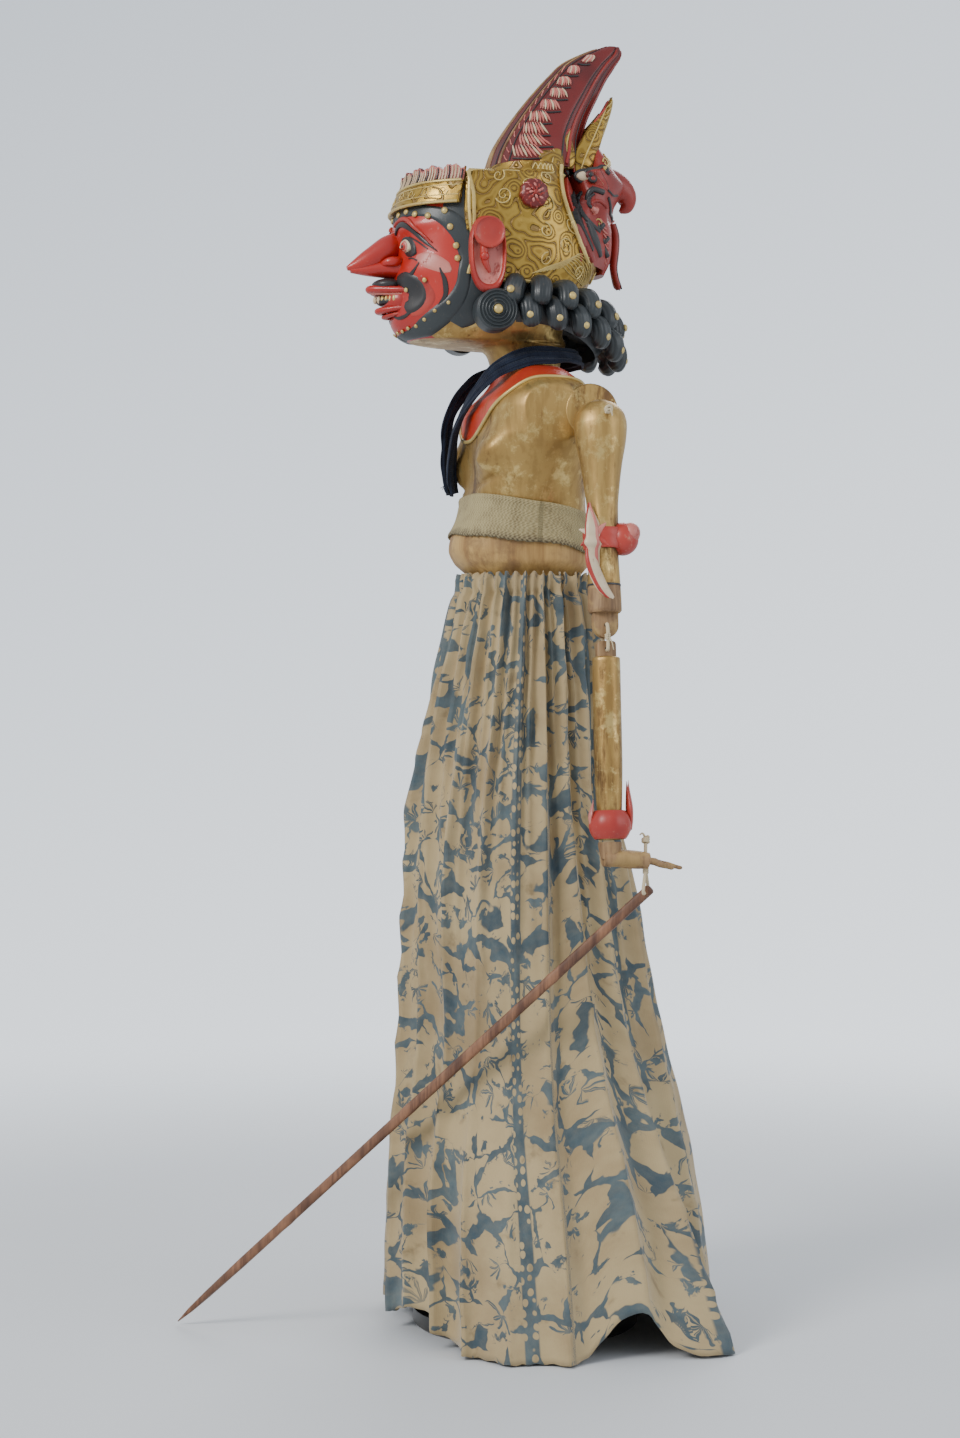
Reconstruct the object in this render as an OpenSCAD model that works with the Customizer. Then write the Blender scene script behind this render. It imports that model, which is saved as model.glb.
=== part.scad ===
// Rod puppet of carved and painted wood, with string-tied arms, a cloth skirt and a display stand.
// Millimetres, +Z up. The puppet faces -Y and its own left hand is on the +X side.
// Origin: centre of the stand's underside. The central rod runs along the Z axis.

/* [Stand] */
// Diameter of the turned stand
stand_d = 112; // [90:1:116]
// Height of the stand
stand_h = 22; // [16:1:30]
// Wood left under the socket
socket_floor = 6; // [4:1:10]

/* [Central rod] */
// Diameter of the foot that stands in the socket
foot_d = 12; // [10:0.5:15]
// Diameter of the grip below the torso
grip_d = 19; // [17:0.5:24]
// Diameter of the spindle that passes through the torso
spindle_d = 13; // [10:0.5:14]
// Radial running clearance of every shaft and pin
run_gap = 0.08; // [0.05:0.01:0.1]

/* [Torso] */
// Height of the torso's underside above the ground
waist_z = 352; // [300:1:400]
// Height of the torso
torso_h = 121.5; // [105:0.5:140]
// Half the distance between the flat-cut shoulder faces
shoulder_x = 54.5; // [48:0.5:60]
// How far the breasts stand out
bust = 8; // [0:0.5:10]

/* [Cloth] */
// Thickness of the skirt's cloth with its folds
skirt_wall = 2.6; // [1.5:0.1:4]
// Height of the skirt's top edge above the torso's underside
skirt_overlap = 19; // [12:1:24]
// Half width of the skirt at the hem
hem_x = 97; // [80:1:110]
// Number of pleats
pleats = 18; // [10:1:26]
// Height of the woven chest band
band_h = 20; // [14:1:24]
// Thickness of the chest band
band_t = 1.6; // [1:0.1:2.5]
// Thickness of the neck scarf
scarf_t = 3.2; // [2:0.1:4]

/* [Head] */
// Gap between the torso and the head
neck_gap = 1.5; // [0.8:0.1:4]
// Height of the head block under its crest
head_h = 97; // [84:1:112]
// Length of the nose in front of the face
nose_len = 26; // [14:1:32]
// Height of the crest above the head block's top
crest_h = 66; // [40:1:80]
// Thickness of the crown's carved wall
crown_t = 3; // [2:0.25:4]

/* [Arms] */
// From the shoulder string to the elbow string
upper_len = 107.5; // [90:1:120]
// From the elbow string to the wrist
fore_len = 101; // [85:1:115]
// Length of the hand
hand_len = 37; // [28:1:44]
// Outward lean of the hanging arms, in degrees
splay = 5; // [3:0.5:9]
// Diameter of the rounded top of the arm
ball_d = 25; // [20:0.5:28]
// Thickness of the flat tabs at the elbow
tab_t = 5; // [4:0.25:6]
// Diameter of the string
string_d = 1.8; // [1.2:0.1:2]

/* [Hand rods] */
// Length of a hand rod
rod_len = 321; // [280:1:360]
// Thickness of a hand rod at its middle
rod_t = 4.8; // [4.5:0.1:7]
// Plan heading of the left rod, in degrees from +X
left_heading = -119; // [-125:1:-60]
// Plan heading of the right rod, in degrees from +X
right_heading = 176; // [120:1:200]

/* [Hidden] */
$fn = 40;

ring_n = 40;                       // points round a carved section
seat_gap = 0.2;                    // room between a cloth or carved cover and what it covers
ground_gap = 0.6;                  // hem and rod tips above the ground
neck_z = waist_z + torso_h + neck_gap;
skirt_top = waist_z + skirt_overlap;
shoulder = [shoulder_x + 1, 19.5, waist_z + 98];   // where an arm's string leaves the torso
string_gap = string_d / 2 + run_gap;             // radius of a hole that string runs in
arm_x = ball_d / 2 + 0.5;                        // arm's centreline, out from its pivot
lobe_r = 13.5;                      // rounded shoulder that an arm hangs from
tab_r = 6;                                       // rounded end of a tab
forearm_w = 13.3;
bracelet_h = -fore_len + 7;
wrist_h = -fore_len;
hand_hole_y = hand_len * 0.46;                   // the hand's string hole, behind the arm's centreline
hang = 17;                                       // from the hand's string hole down to its rod
loop_rise = 10;                                  // height of the string loop over a hand rod's top

// ---- shared shape functions ----

// power that keeps its sign
function spow(v, p) = sign(v) * pow(abs(v), p);
// one bell-shaped bump, 1 at its centre
function bell(v, centre, width) = exp(-pow((v - centre) / width, 2));
// difference of two angles, from -180 to 180
function turn(a, b) = (a - b + 540) % 360 - 180;
// value of column k at height h in a table of sections, each [h, front, back, half width, centre y]
function at(table, h, k) = lookup(h, [for (s = table) [s[0], s[k]]]);
// point at angle t on the section at height h, grown outward; n is the superellipse's power
function section_pt(table, h, t, grow, n) =
    let (c = cos(t), s = sin(t), yc = at(table, h, 4),
        half_y = s < 0 ? yc - at(table, h, 1) : at(table, h, 2) - yc)
    [(at(table, h, 3) + grow) * spow(c, 2 / n), yc + (half_y + grow) * spow(s, 2 / n), h];

// average of a ring's points
function middle(ring) = [for (k = [0:2]) [for (p = ring) p[k]] * [for (p = ring) 1] / len(ring)];
// two triangles for each cell between ring a and ring b, each of n points, seen from outside
function wall(a, b, n) = [for (j = [0:n - 1]) let (k = (j + 1) % n)
    each [[a + j, b + k, a + k], [a + j, b + j, b + k]]];

// solid through a stack of rings, closed by a fan at each end
module stack(rings) {
    n = len(rings[0]);
    m = len(rings);
    polyhedron(
        concat([for (r = rings) each r], [middle(rings[0]), middle(rings[m - 1])]),
        concat([for (i = [0:m - 2]) each wall(i * n, (i + 1) * n, n)],
            [for (j = [0:n - 1]) [n * m, j, (j + 1) % n]],
            [for (j = [0:n - 1]) [n * m + 1, (m - 1) * n + (j + 1) % n, (m - 1) * n + j]]));
}

// hollow wall between outer rings and inner rings, open at both ends
module hollow(outer, inner) {
    n = len(outer[0]);
    m = len(outer);
    polyhedron(
        concat([for (r = outer) each r], [for (r = inner) each r]),
        concat([for (i = [0:m - 2]) each wall(i * n, (i + 1) * n, n)],
            [for (i = [0:m - 2]) each wall((m + i + 1) * n, (m + i) * n, n)],
            wall(m * n, 0, n),
            wall((m - 1) * n, (2 * m - 1) * n, n)));
}

// round bar between two points
module bar(p, q, d) {
    v = q - p;
    translate(p) rotate([0, acos(v.z / norm(v)), atan2(v.y, v.x)]) cylinder(d = d, h = norm(v));
}

// turned or carved length whose round sections are [height, radius, centre y]
module turned(sections) {
    stack([for (s = sections) [for (j = [0:23]) let (t = 15 * j)
        [s[1] * cos(t), s[2] + s[1] * sin(t), s[0]]]]);
}

// ---- stand and central rod ----

module display_stand() {
    r = stand_d / 2;
    color("#1b1917") difference() {
        rotate_extrude() polygon([[0, 0], [r - 1, 0], [r, 1], [r, stand_h * 0.35],
            [r - 5, stand_h * 0.5], [r - 7, stand_h * 0.72], [r - 12, stand_h - 1],
            [r - 13, stand_h], [0, stand_h]]);
        translate([0, 0, socket_floor]) cylinder(d = foot_d + 2 * run_gap, h = stand_h);
    }
}

module central_rod() {
    foot_top = stand_h + 0.4;
    color("#7a5230") union() {
        translate([0, 0, socket_floor + 0.3]) cylinder(d = foot_d, h = foot_top - socket_floor);
        translate([0, 0, foot_top]) cylinder(d = grip_d, h = waist_z - 0.3 - foot_top);
        translate([0, 0, waist_z - 1]) cylinder(d = spindle_d, h = torso_h + neck_gap + 26);
    }
}

// ---- torso and its cloth ----

// sections of the torso: height share, front, back, half width, centre y
TORSO = [for (s = [[0, -24, 24, 25], [9, -25.5, 25, 26.5], [18.5, -27.5, 26.5, 28.5],
        [26, -34.5, 31, 33.5], [32, -36.5, 31, 34], [39, -36, 30.5, 34.5], [48, -32.5, 29, 35.5],
        [59, -29.6, 28, 39], [70, -27.5, 28, 46], [80, -27.5, 29, 53.5], [86, -27.7, 29.3, 57], [98, -27.5, 29, 58.5],
        [104, -24.5, 27.5, 57.5], [108.5, -21, 26, 54], [114, -16, 22.5, 46], [119, -13, 18, 35],
        [121.5, -11.5, 15.5, 27]])
    [s[0] * torso_h / 121.5, s[1], s[2], s[3] * shoulder_x / 54.5, 0]];

function breasts(t, h) = bust * bell(h, 76 * torso_h / 121.5, 9)
    * (bell(turn(t, -62), 0, 15) + bell(turn(t, -118), 0, 15));
function torso_pt(t, h, grow) = section_pt(TORSO, h, t, grow + breasts(t, h), 2.5);

module torso() {
    color("#b8924a") difference() {
        union() {
            translate([0, 0, waist_z]) stack([for (s = TORSO) [for (j = [0:ring_n - 1])
                torso_pt(j * 360 / ring_n, s[0], 0)]]);
            for (side = [-1, 1])                       // rounded shoulder lobes
                translate([side * 30, shoulder.y, shoulder.z - 2]) rotate([0, side * 90, 0])
                    cylinder(r = lobe_r, h = shoulder_x - 30);
        }
        translate([0, 0, waist_z - 5]) cylinder(d = spindle_d + 2 * run_gap, h = torso_h + 10);
        for (side = [-1, 1]) {
            translate([side * shoulder_x, -60, waist_z]) cube_outside(side);
            translate([side * 28, shoulder.y, shoulder.z]) rotate([0, side * 90, 0])
                cylinder(r = string_gap, h = 40);
        }
    }
}

// block beyond a shoulder's flat face
module cube_outside(side) {
    translate([side > 0 ? 0 : -30, 0, 0]) cube([30, 120, torso_h + 5]);
}

// ring round the torso whose top edge falls toward the back
module chest_band() {
    top = 59;
    fall = 11;
    rows = 4;
    function edge_h(t, k) = (top - band_h * (1 - k / rows)) - fall * (1 + sin(t)) / 2;
    function ring(k, grow) = [for (j = [0:ring_n - 1]) let (t = j * 360 / ring_n)
        torso_pt(t, edge_h(t, k), grow)];
    color("#a39567") translate([0, 0, waist_z])
        hollow([for (k = [0:rows]) ring(k, seat_gap + band_t)], [for (k = [0:rows]) ring(k, seat_gap)]);
}

// sections of the skirt: share of its drop from the waist, front, back, half width, centre y
SKIRT = [for (s = [[0, -33.6, 33.6, 35], [0.06, -39, 36.5, 38], [0.17, -48, 41, 42],
        [0.30, -56, 45, 45], [0.43, -59.5, 56, 47], [0.57, -62, 66, 50], [0.70, -64, 77, 58],
        [0.84, -67, 86, 79], [1, -68, 92, hem_x]]) [s[0], s[1], s[2], s[3], 0]];

// height of the hem's edge round the skirt, raised in a few scalloped places
function hem_h(t) = ground_gap + 15 * bell(turn(t, -72), 0, 16) + 9 * bell(turn(t, -110), 0, 18)
    + 22 * bell(turn(t, 19), 0, 9) + 7 * bell(turn(t, 120), 0, 20) + 8 * bell(turn(t, 200), 0, 16);
// the back corner of the hem, pulled out to a point
function tail(t, drop) = 26 * bell(turn(t, 39), 0, 11) * pow(drop, 5)
    + 10 * bell(turn(t, 141), 0, 14) * pow(drop, 5);
// the cloth gives way where the left hand rod leans across it
function dent(t, drop) = -9 * bell(turn(t, -42), 0, 34) * bell(drop, 0.63, 0.13);
function skirt_pt(t, drop, grow) =
    let (fold = (0.7 + 2.3 * drop) * cos(pleats * t),
        p = section_pt(SKIRT, drop, t, grow + fold + tail(t, drop) + dent(t, drop), 2))
    [p.x, p.y, skirt_top - drop * (skirt_top - hem_h(t))];

module skirt() {
    rows = 14;
    n = pleats * 5;
    function ring(k, grow) = [for (j = [0:n - 1]) skirt_pt(j * 360 / n, 1 - k / rows, grow)];
    color("#9b8a62") hollow([for (k = [0:rows]) ring(k, 0)], [for (k = [0:rows]) ring(k, -skirt_wall)]);
}

// the scarf's middle line, from one tucked end round the neck to the other, above the torso's underside
SCARF = [[-30, -32, 62], [-33.5, -32.8, 74], [-32, -33, 86], [-27, -33.5, 98], [-22, -29.5, 109],
    [-25, -20, 118.6], [-29, -6.5, 124.6], [-26.5, 8, 126.6], [-18.5, 19.8, 127.4], [-6.3, 26.5, 127.4],
    [6.3, 26.5, 127.4], [18.5, 19.8, 127.4], [26.5, 8, 126.6], [29.2, -6.5, 124.9], [23.5, -20, 119],
    [11, -27.5, 110], [0, -31.5, 101], [-10, -33.5, 91], [-17, -33.5, 80], [-22, -32.5, 70], [-23, -31, 62]];

module neck_scarf() {
    function across(i) = let (a = SCARF[max(i - 1, 0)], b = SCARF[min(i + 1, len(SCARF) - 1)], v = b - a,
        out = [SCARF[i].x, SCARF[i].y + 6, 14]) [v / norm(v), out / norm(out)];
    function place(i) = [SCARF[i].x, SCARF[i].y, SCARF[i].z * torso_h / 121.5];
    function ring(i) = let (d = across(i), w = cross(d[0], d[1]), wide = w / norm(w), thick = cross(wide, d[0]),
        hw = 4.6 - 1.6 * bell(i, 0, 3) - 1.6 * bell(i, len(SCARF) - 1, 3) - 0.9 * bell(i, 9, 4))
        [for (j = [0:9]) let (t = -36 * j) place(i) + wide * hw * cos(t) + thick * scarf_t / 2 * sin(t)];
    color("#1d2433") translate([0, 0, waist_z]) stack([for (i = [0:len(SCARF) - 1]) ring(i)]);
}

// ---- head ----

// sections of the head block: height, front, back, half width, centre y
HEAD = [for (s = [[0, -17, 17, 17, 0], [6, -19, 18, 18, 0], [9.5, -23, 19, 20, 0], [11.5, -58, 20, 22, -14],
        [16, -65, 18, 26, -14], [23, -68, 19, 30, -14], [31, -67, 23, 33, -14], [40, -67, 27, 35, -14],
        [50, -65.5, 31, 36.5, -12], [60, -66.5, 28, 37, -12], [70, -66, 23, 37.5, -12],
        [80, -63, 19, 37.5, -12], [88, -59.5, 16.5, 37, -12], [90, -58.5, 16, 36.5, -12],
        [91, -20, 15, 32, -2], [97, -19.5, 14.5, 30, -2]])
    [s[0] * head_h / 97, s[1], s[2], s[3], s[4]]];
function head_pt(t, h, grow) = section_pt(HEAD, h, t, grow, 2.3);
function up(h) = h * head_h / 97;               // a height on the head, in proportion to it

module on_head() { translate([0, 0, neck_z]) children(); }

module head_block() {
    color("#b23228") on_head() difference() {
        union() {
            stack([for (s = HEAD) [for (j = [0:ring_n - 1]) head_pt(j * 360 / ring_n, s[0], 0)]]);
            hull() {                                   // nose
                translate([0, -60, up(53)]) sphere(d = 15, $fn = 20);
                translate([0, -60, up(58)]) sphere(d = 8, $fn = 16);
                translate([0, -65 - nose_len + 1.6, up(46.5)]) sphere(d = 3.2, $fn = 12);
            }
            hull() {                                   // upper lip and teeth
                translate([-9, -64, up(34)]) sphere(d = 8, $fn = 16);
                translate([9, -64, up(34)]) sphere(d = 8, $fn = 16);
                translate([0, -76, up(35)]) sphere(d = 7, $fn = 16);
            }
        }
        translate([0, 0, -1]) cylinder(d = spindle_d + 2 * run_gap, h = 27.3);
    }
}

// gold diadem with its broken, jagged rim
module crown_band() {
    rows = 4;
    low = up(77);
    top = up(90.5);
    function jag(j) = 2.2 * ((j * 7) % 5) / 4;
    function ring(k, grow) = [for (j = [0:ring_n - 1]) let (t = j * 360 / ring_n, front = t > 200 && t < 340,
        h = k == rows ? top + (front ? jag(j) : 0) : low + (top - low) * k / rows)
        let (p = head_pt(t, min(h, up(89.9)), grow)) [p.x, p.y, h]];
    color("#a68a3e") on_head() difference() {
        hollow([for (k = [0:rows]) ring(k, seat_gap + crown_t)], [for (k = [0:rows]) ring(k, seat_gap)]);
        translate([-60, -33, up(70)]) cube([120, 100, 40]);   // the cap takes over behind the temples
    }
}

// gold cap: a carved wall over the back and top of the head, open over the face
module crown_cap() {
    rows = 9;
    function low(t) = let (front = abs(turn(t, -90))) front < 72 ? up(91.2)
        : front > 96 ? up(37) + 4 * cos(t) * cos(t) : up(91.2) - (up(91.2) - up(37)) * (front - 72) / 24;
    function ring(k, grow) = [for (j = [0:ring_n - 1]) let (t = j * 360 / ring_n)
        head_pt(t, low(t) + (up(96.8) - low(t)) * k / rows, grow)];
    color("#ab8f42") on_head()
        hollow([for (k = [0:rows]) ring(k, seat_gap + crown_t)], [for (k = [0:rows]) ring(k, seat_gap)]);
}

// crest: a horn that sweeps up and back from the crown
CREST = [[97.3, -20, 24, 27], [106, -17, 27, 22], [113.5, -13, 28, 17], [124, -6, 31, 14], [137, 4, 37, 11],
    [146, 12, 41.5, 8.5], [153, 19, 46, 6.5], [160, 32, 50, 4.5], [163.5, 41, 49, 2.5]];
module crest() {
    function lift(h) = head_h + 0.3 + (h - 97.3) * crest_h / 66.2;
    table = [for (s = CREST) [lift(s[0]), s[1], s[2], s[3], (s[1] + s[2]) / 2]];
    color("#6e2320") on_head()
        stack([for (s = table) [for (j = [0:27]) section_pt(table, s[0], j * 360 / 28, 0, 2.2)]]);
}

// carved bird mask that looks backward from the rear of the crown
MASK = [[47, 35, 40, 8, 37.5], [54, 34, 43, 13, 38], [64, 29, 44, 18, 35], [72, 24.5, 44, 22, 30], [80, 21, 45, 25, 28],
    [86, 19, 48, 25, 28], [92, 18.5, 51, 23, 28], [96, 19, 48, 22, 29], [98, 28.5, 46, 19, 34], [104, 29, 42, 16, 35],
    [110, 30, 38, 11, 34]];
module rear_mask() {
    table = [for (s = MASK) [up(s[0]), s[1], s[2], s[3], s[4]]];
    color("#8f2a1e") on_head()
        stack([for (s = table) [for (j = [0:27]) section_pt(table, s[0], j * 360 / 28, 0, 1.8)]]);
}

// gold leaf that rises from the mask's brow
HORNS = [[108, 30, 36, 9, 33], [115, 32.5, 39, 8, 35], [125, 36.5, 42.5, 6, 39.5], [133, 41, 44.8, 3.5, 43],
    [138, 43.8, 45.6, 1.2, 44.7]];
module mask_horns() {
    table = [for (s = HORNS) [up(s[0]), s[1], s[2], s[3], s[4]]];
    color("#b39240") on_head()
        stack([for (s = table) [for (j = [0:15]) section_pt(table, s[0], j * 22.5, 0, 1.8)]]);
}

module back_ribbon() {
    color("#a02c22") on_head() hull() {
        translate([0, 46, up(68)]) cylinder(r = 4, h = 6, $fn = 24);
        translate([0, 46.5, up(42)]) cylinder(r = 3.2, h = 4, $fn = 24);
    }
}

// roll of curls round the nape, from one side curl to the other
module nape_curls() {
    steps = 22;
    function place(a) = let (back = bell(turn(a, 90), 0, 58)) [39.5 * cos(a), 4 + 37 * sin(a) - 6 * (1 - back), up(27.5) - 13.5 * back];
    function ring(i) = let (a = -22 + i * 224 / steps, c = place(a), r = 7.4 + 1.6 * sin(a) + 0.6 * cos(i * 90),
        out = [cos(a), sin(a), 0])
        [for (j = [0:11]) c + out * r * cos(-30 * j) + [0, 0, 1] * r * 1.55 * sin(-30 * j)];
    color("#2d3235") on_head() stack([for (i = [0:steps]) ring(i)]);
}

// ---- pieces in pairs: side is 1 on the puppet's left, -1 on its right ----

module ear(side) {
    color("#c03a30") on_head() hull() {
        translate([side * 36, -25.5, up(58.5)]) rotate([0, side * 90, 0]) cylinder(d = 17, h = 7, $fn = 32);
        translate([side * 35.5, -28, up(38.5)]) rotate([0, side * 90, 0]) cylinder(d = 12, h = 6, $fn = 32);
    }
}

module ear_stud(side) {
    color("#c8473c") on_head() translate([side * 43, -26.5, up(58.5)]) rotate([0, side * 90, 0])
        union() {
            cylinder(d = 15.5, h = 2.2);
            cylinder(d = 9, h = 3.4);
        }
}

module side_curl(side) {
    r = 10.3;
    half = 6;
    color("#2d3235") on_head() translate([side * 39.5, -24.5, up(22)]) rotate([0, side * 90, 0])
        rotate_extrude() polygon([[0, -half], [r - 2.4, -half], for (a = [-60:20:60]) [r - 2.4 + 2.4 * cos(a),
            (half - 2.4) * sign(a) + 2.4 * sin(a)], [r - 2.4, half], [0, half]]);
}

module rosette(side) {
    color("#b5392e") on_head() translate([side * 39.6, -6, up(79)]) rotate([0, side * 90, 0])
        union() {
            cylinder(d = 14, h = 5);
            translate([0, 0, 5]) cylinder(d1 = 9, d2 = 5, h = 1.6);
        }
}

// puts a piece drawn at a hanging arm's pivot in place: x points away from the body, z is up
module on_arm(side) {
    mirror([side < 0 ? 1 : 0, 0, 0]) translate(shoulder) rotate([0, -splay, 0]) children();
}

// the shoulder string, free to turn in the torso
module shoulder_string(side) {
    color("#d8c9a3") translate([side * 30, shoulder.y, shoulder.z]) rotate([0, side * 90, 0])
        cylinder(d = string_d, h = shoulder.x - 30 - string_d / 2 - 0.05);
}

ball_h = -ball_d / 2 + 0.5;                        // centre of the arm's rounded top, below its pivot
pin_h = ball_h + 5;                                // the string's hole through it

module arm_knot(side) {
    color("#d8c9a3") on_arm(side) union() {
        rotate([90, 0, 0]) cylinder(d = string_d, h = 3, center = true);
        translate([0.4, 0, pin_h]) cylinder(d = string_d * 0.8, h = -pin_h);
        translate([0.2, 0, pin_h]) rotate([0, 90, 0]) cylinder(d = string_d, h = ball_d + 2);
        translate([ball_d + 2.4, 0, pin_h]) sphere(d = 4);
    }
}

module upper_arm(side) {
    r = ball_d / 2;
    body_end = -upper_len + tab_r;
    color("#b48d45") on_arm(side) difference() {
        union() {
            translate([arm_x, 0, 0]) turned([[body_end, 7.4, 0], [body_end + 1, 8.1, 0],
                [-upper_len + 18, 7.9, 0], [-upper_len + 34, 7.2, 0], [ball_h - 40, 7.4, 0], [ball_h - 29, 8.4, 0],
                [ball_h - 18, 9.9, 0], [ball_h - 7, r * 0.95, 0], [ball_h, r, 0], [ball_h + r * 0.4, r * 0.92, 0],
                [ball_h + r * 0.8, r * 0.6, 0], [ball_h + r * 0.97, r * 0.24, 0]]);
            translate([arm_x, 0, -upper_len]) tab(tab_r, 12);
        }
        translate([0, 0, pin_h]) rotate([0, 90, 0]) cylinder(r = string_gap, h = 60);
        translate([arm_x - 10, 0, -upper_len]) rotate([0, 90, 0]) cylinder(r = string_gap, h = 20);
    }
}

// flat tab that hangs from height up to its rounded end round the origin, w wide
module tab(r, w) {
    translate([-tab_t / 2, 0, 0]) union() {
        rotate([0, 90, 0]) cylinder(r = r, h = tab_t);
        translate([0, -w / 2, 0]) cube([tab_t, w, r + 2]);
    }
}

module armlet(side) {
    h = -upper_len + 41;
    color("#c4564c") on_arm(side) translate([arm_x, 0, h]) difference() {
        union() {
            translate([0, 0, -5]) cylinder(r = 9.6, h = 10);
            translate([2, 8, 0]) sphere(d = 16);
            for (tip = [15, -19])                      // leaf points above and below the ring
                hull() {
                    translate([3, -9, -3]) sphere(d = 7, $fn = 20);
                    translate([3, -9.5, tip]) sphere(d = 4, $fn = 16);
                }
        }
        translate([0, 0, -40]) cylinder(r = 8.2, h = 80);
    }
}

forearm_top = -7.5;                                // forearm's top edge below the elbow's hole
loop_h = -11.5;                                    // lower end of the elbow's string loop

// puts a piece drawn at the elbow's hole in place
module on_forearm(side) { on_arm(side) translate([arm_x, 0, -upper_len]) children(); }

module elbow_loop(side) {
    x = tab_t / 2 + string_d / 2 + 0.5;
    color("#d8c9a3") on_forearm(side) union() {
        for (h = [0, loop_h]) translate([-x, 0, h]) rotate([0, 90, 0]) cylinder(d = string_d, h = 2 * x);
        for (k = [-x, x]) {
            translate([k, 0, loop_h]) cylinder(d = string_d * 0.96, h = -loop_h);
            for (h = [0, loop_h]) translate([k, 0, h]) sphere(d = string_d * 1.1);
        }
    }
}

module forearm(side) {
    w = forearm_w / 2;
    color("#b48d45") on_forearm(side) difference() {
        union() {
            translate([-tab_t / 2, -4.5, loop_h - 5]) cube([tab_t, 9, forearm_top - loop_h + 5]);
            turned([[wrist_h, w * 0.75, 0], [wrist_h + 16, w * 0.9, 0], [wrist_h + 40, w, 0],
                [loop_h - 14, w, 0], [loop_h - 4, w * 0.98, 0], [loop_h - 3.4, w * 0.8, 0]]);
        }
        translate([-10, 0, loop_h]) rotate([0, 90, 0]) cylinder(r = string_gap, h = 20);
    }
}

module bracelet(side) {
    color("#b84a42") on_forearm(side) translate([0, 0, bracelet_h]) union() {
        difference() {
            intersection() {
                sphere(d = 20);
                translate([-15, -15, -6.8]) cube([30, 30, 13.6]);
            }
            translate([0, 0, -12]) cylinder(r = forearm_w / 2 + 0.3, h = 30);
        }
        hull() {
            translate([0, 8.6, 1]) sphere(d = 3.4, $fn = 20);
            translate([0, 8.2, 20]) sphere(d = 2, $fn = 16);
            translate([4, 7.9, 4]) sphere(d = 2, $fn = 16);
        }
    }
}

// where the hand's string hole meets the ground plane's vertical, from the elbow's hole
hand_hole = [0, hand_hole_y, wrist_h - 8];

module hand(side) {
    color("#8f7040") on_forearm(side) difference() {
        union() {
            hull() {                                   // wrist and palm
                translate([0, 0, wrist_h - 1.2]) cylinder(d = 11, h = 1, $fn = 32);
                translate([0, -1, wrist_h - 11]) sphere(d = 9, $fn = 24);
                translate([0, hand_len * 0.5, wrist_h - 9.5]) rotate([0, 90, 0]) cylinder(d = 8, h = 11, center = true, $fn = 24);
            }
            hull() {                                   // fingers
                translate([0, hand_len * 0.45, wrist_h - 9.8]) rotate([0, 90, 0]) cylinder(d = 7, h = 11, center = true, $fn = 24);
                translate([0, hand_len - 9, wrist_h - 13]) rotate([0, 90, 0]) cylinder(d = 4.4, h = 9, center = true, $fn = 24);
            }
        }
        translate(hand_hole) rotate([0, splay, 0]) cylinder(r = string_gap, h = 40, center = true);
    }
}

// the hand's string hole in the frame of the whole puppet, on its left side
function from_arm(p) = let (q = p + [arm_x, 0, -upper_len])
    shoulder + [q.x * cos(splay) - q.z * sin(splay), q.y, q.x * sin(splay) + q.z * cos(splay)];
hole = from_arm(hand_hole);
rod_top = hole - [0, 0, hang];                     // hinge of the hand rod, on the left side
function rod_pivot(side) = [side * rod_top.x, rod_top.y, rod_top.z];
rod_drop = asin((rod_top.z - ground_gap - 1) / rod_len);   // the rod reaches down to the ground

// string from a knot on the hand, down through it, and round the rod's top in a small loop
module hand_string(side) {
    heading = side > 0 ? left_heading : right_heading;
    half = rod_t / 2 + string_d / 2 + 1.9;
    color("#d8c9a3") translate(rod_pivot(side)) rotate([0, 0, heading]) union() {
        translate([0, 0, loop_rise]) cylinder(d = string_d, h = hang + 7 - loop_rise);
        translate([0, 0, hang + 7.6]) sphere(d = 4.4);
        translate([0, 0, loop_rise]) sphere(d = string_d * 1.2);
        rotate([90, 0, 0]) cylinder(d = string_d, h = 2 * half, center = true);
        for (k = [-half, half]) {
            bar([0, k, 0], [0, 0, loop_rise], string_d * 0.9);
            translate([0, k, 0]) sphere(d = string_d * 1.1);
        }
    }
}

module hand_rod(side) {
    heading = side > 0 ? left_heading : right_heading;
    t = rod_t / 2;
    function square_at(x, hy, hz) = [[x, -hy, -hz], [x, hy, -hz], [x, hy, hz], [x, -hy, hz]];
    color("#8a5c3c") translate(rod_pivot(side)) rotate([0, rod_drop, heading]) difference() {
        stack([for (s = [[-3.4, 0.7, 0.7], [-2.6, 1, 1], [rod_len * 0.4, 1, 1.05], [rod_len * 0.86, 0.95, 0.9],
            [rod_len * 0.94, 1.3, 0.7], [rod_len - 9, 0.85, 0.5], [rod_len, 0.12, 0.12]]) square_at(s[0], s[1] * t, s[2] * t)]);
        rotate([90, 0, 0]) cylinder(r = string_gap, h = 20, center = true);
    }
}

display_stand();
central_rod();
torso();
chest_band();
skirt();
neck_scarf();
head_block();
crown_band();
crown_cap();
crest();
rear_mask();
mask_horns();
back_ribbon();
nape_curls();
ear(1);  // left_ear
ear(-1);  // right_ear
ear_stud(1);  // left_ear_stud
ear_stud(-1);  // right_ear_stud
side_curl(1);  // left_side_curl
side_curl(-1);  // right_side_curl
rosette(1);  // left_rosette
rosette(-1);  // right_rosette
shoulder_string(1);  // left_shoulder_string
shoulder_string(-1);  // right_shoulder_string
arm_knot(1);  // left_arm_knot
arm_knot(-1);  // right_arm_knot
upper_arm(1);  // left_upper_arm
upper_arm(-1);  // right_upper_arm
armlet(1);  // left_armlet
armlet(-1);  // right_armlet
elbow_loop(1);  // left_elbow_loop
elbow_loop(-1);  // right_elbow_loop
forearm(1);  // left_forearm
forearm(-1);  // right_forearm
bracelet(1);  // left_bracelet
bracelet(-1);  // right_bracelet
hand(1);  // left_hand
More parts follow.
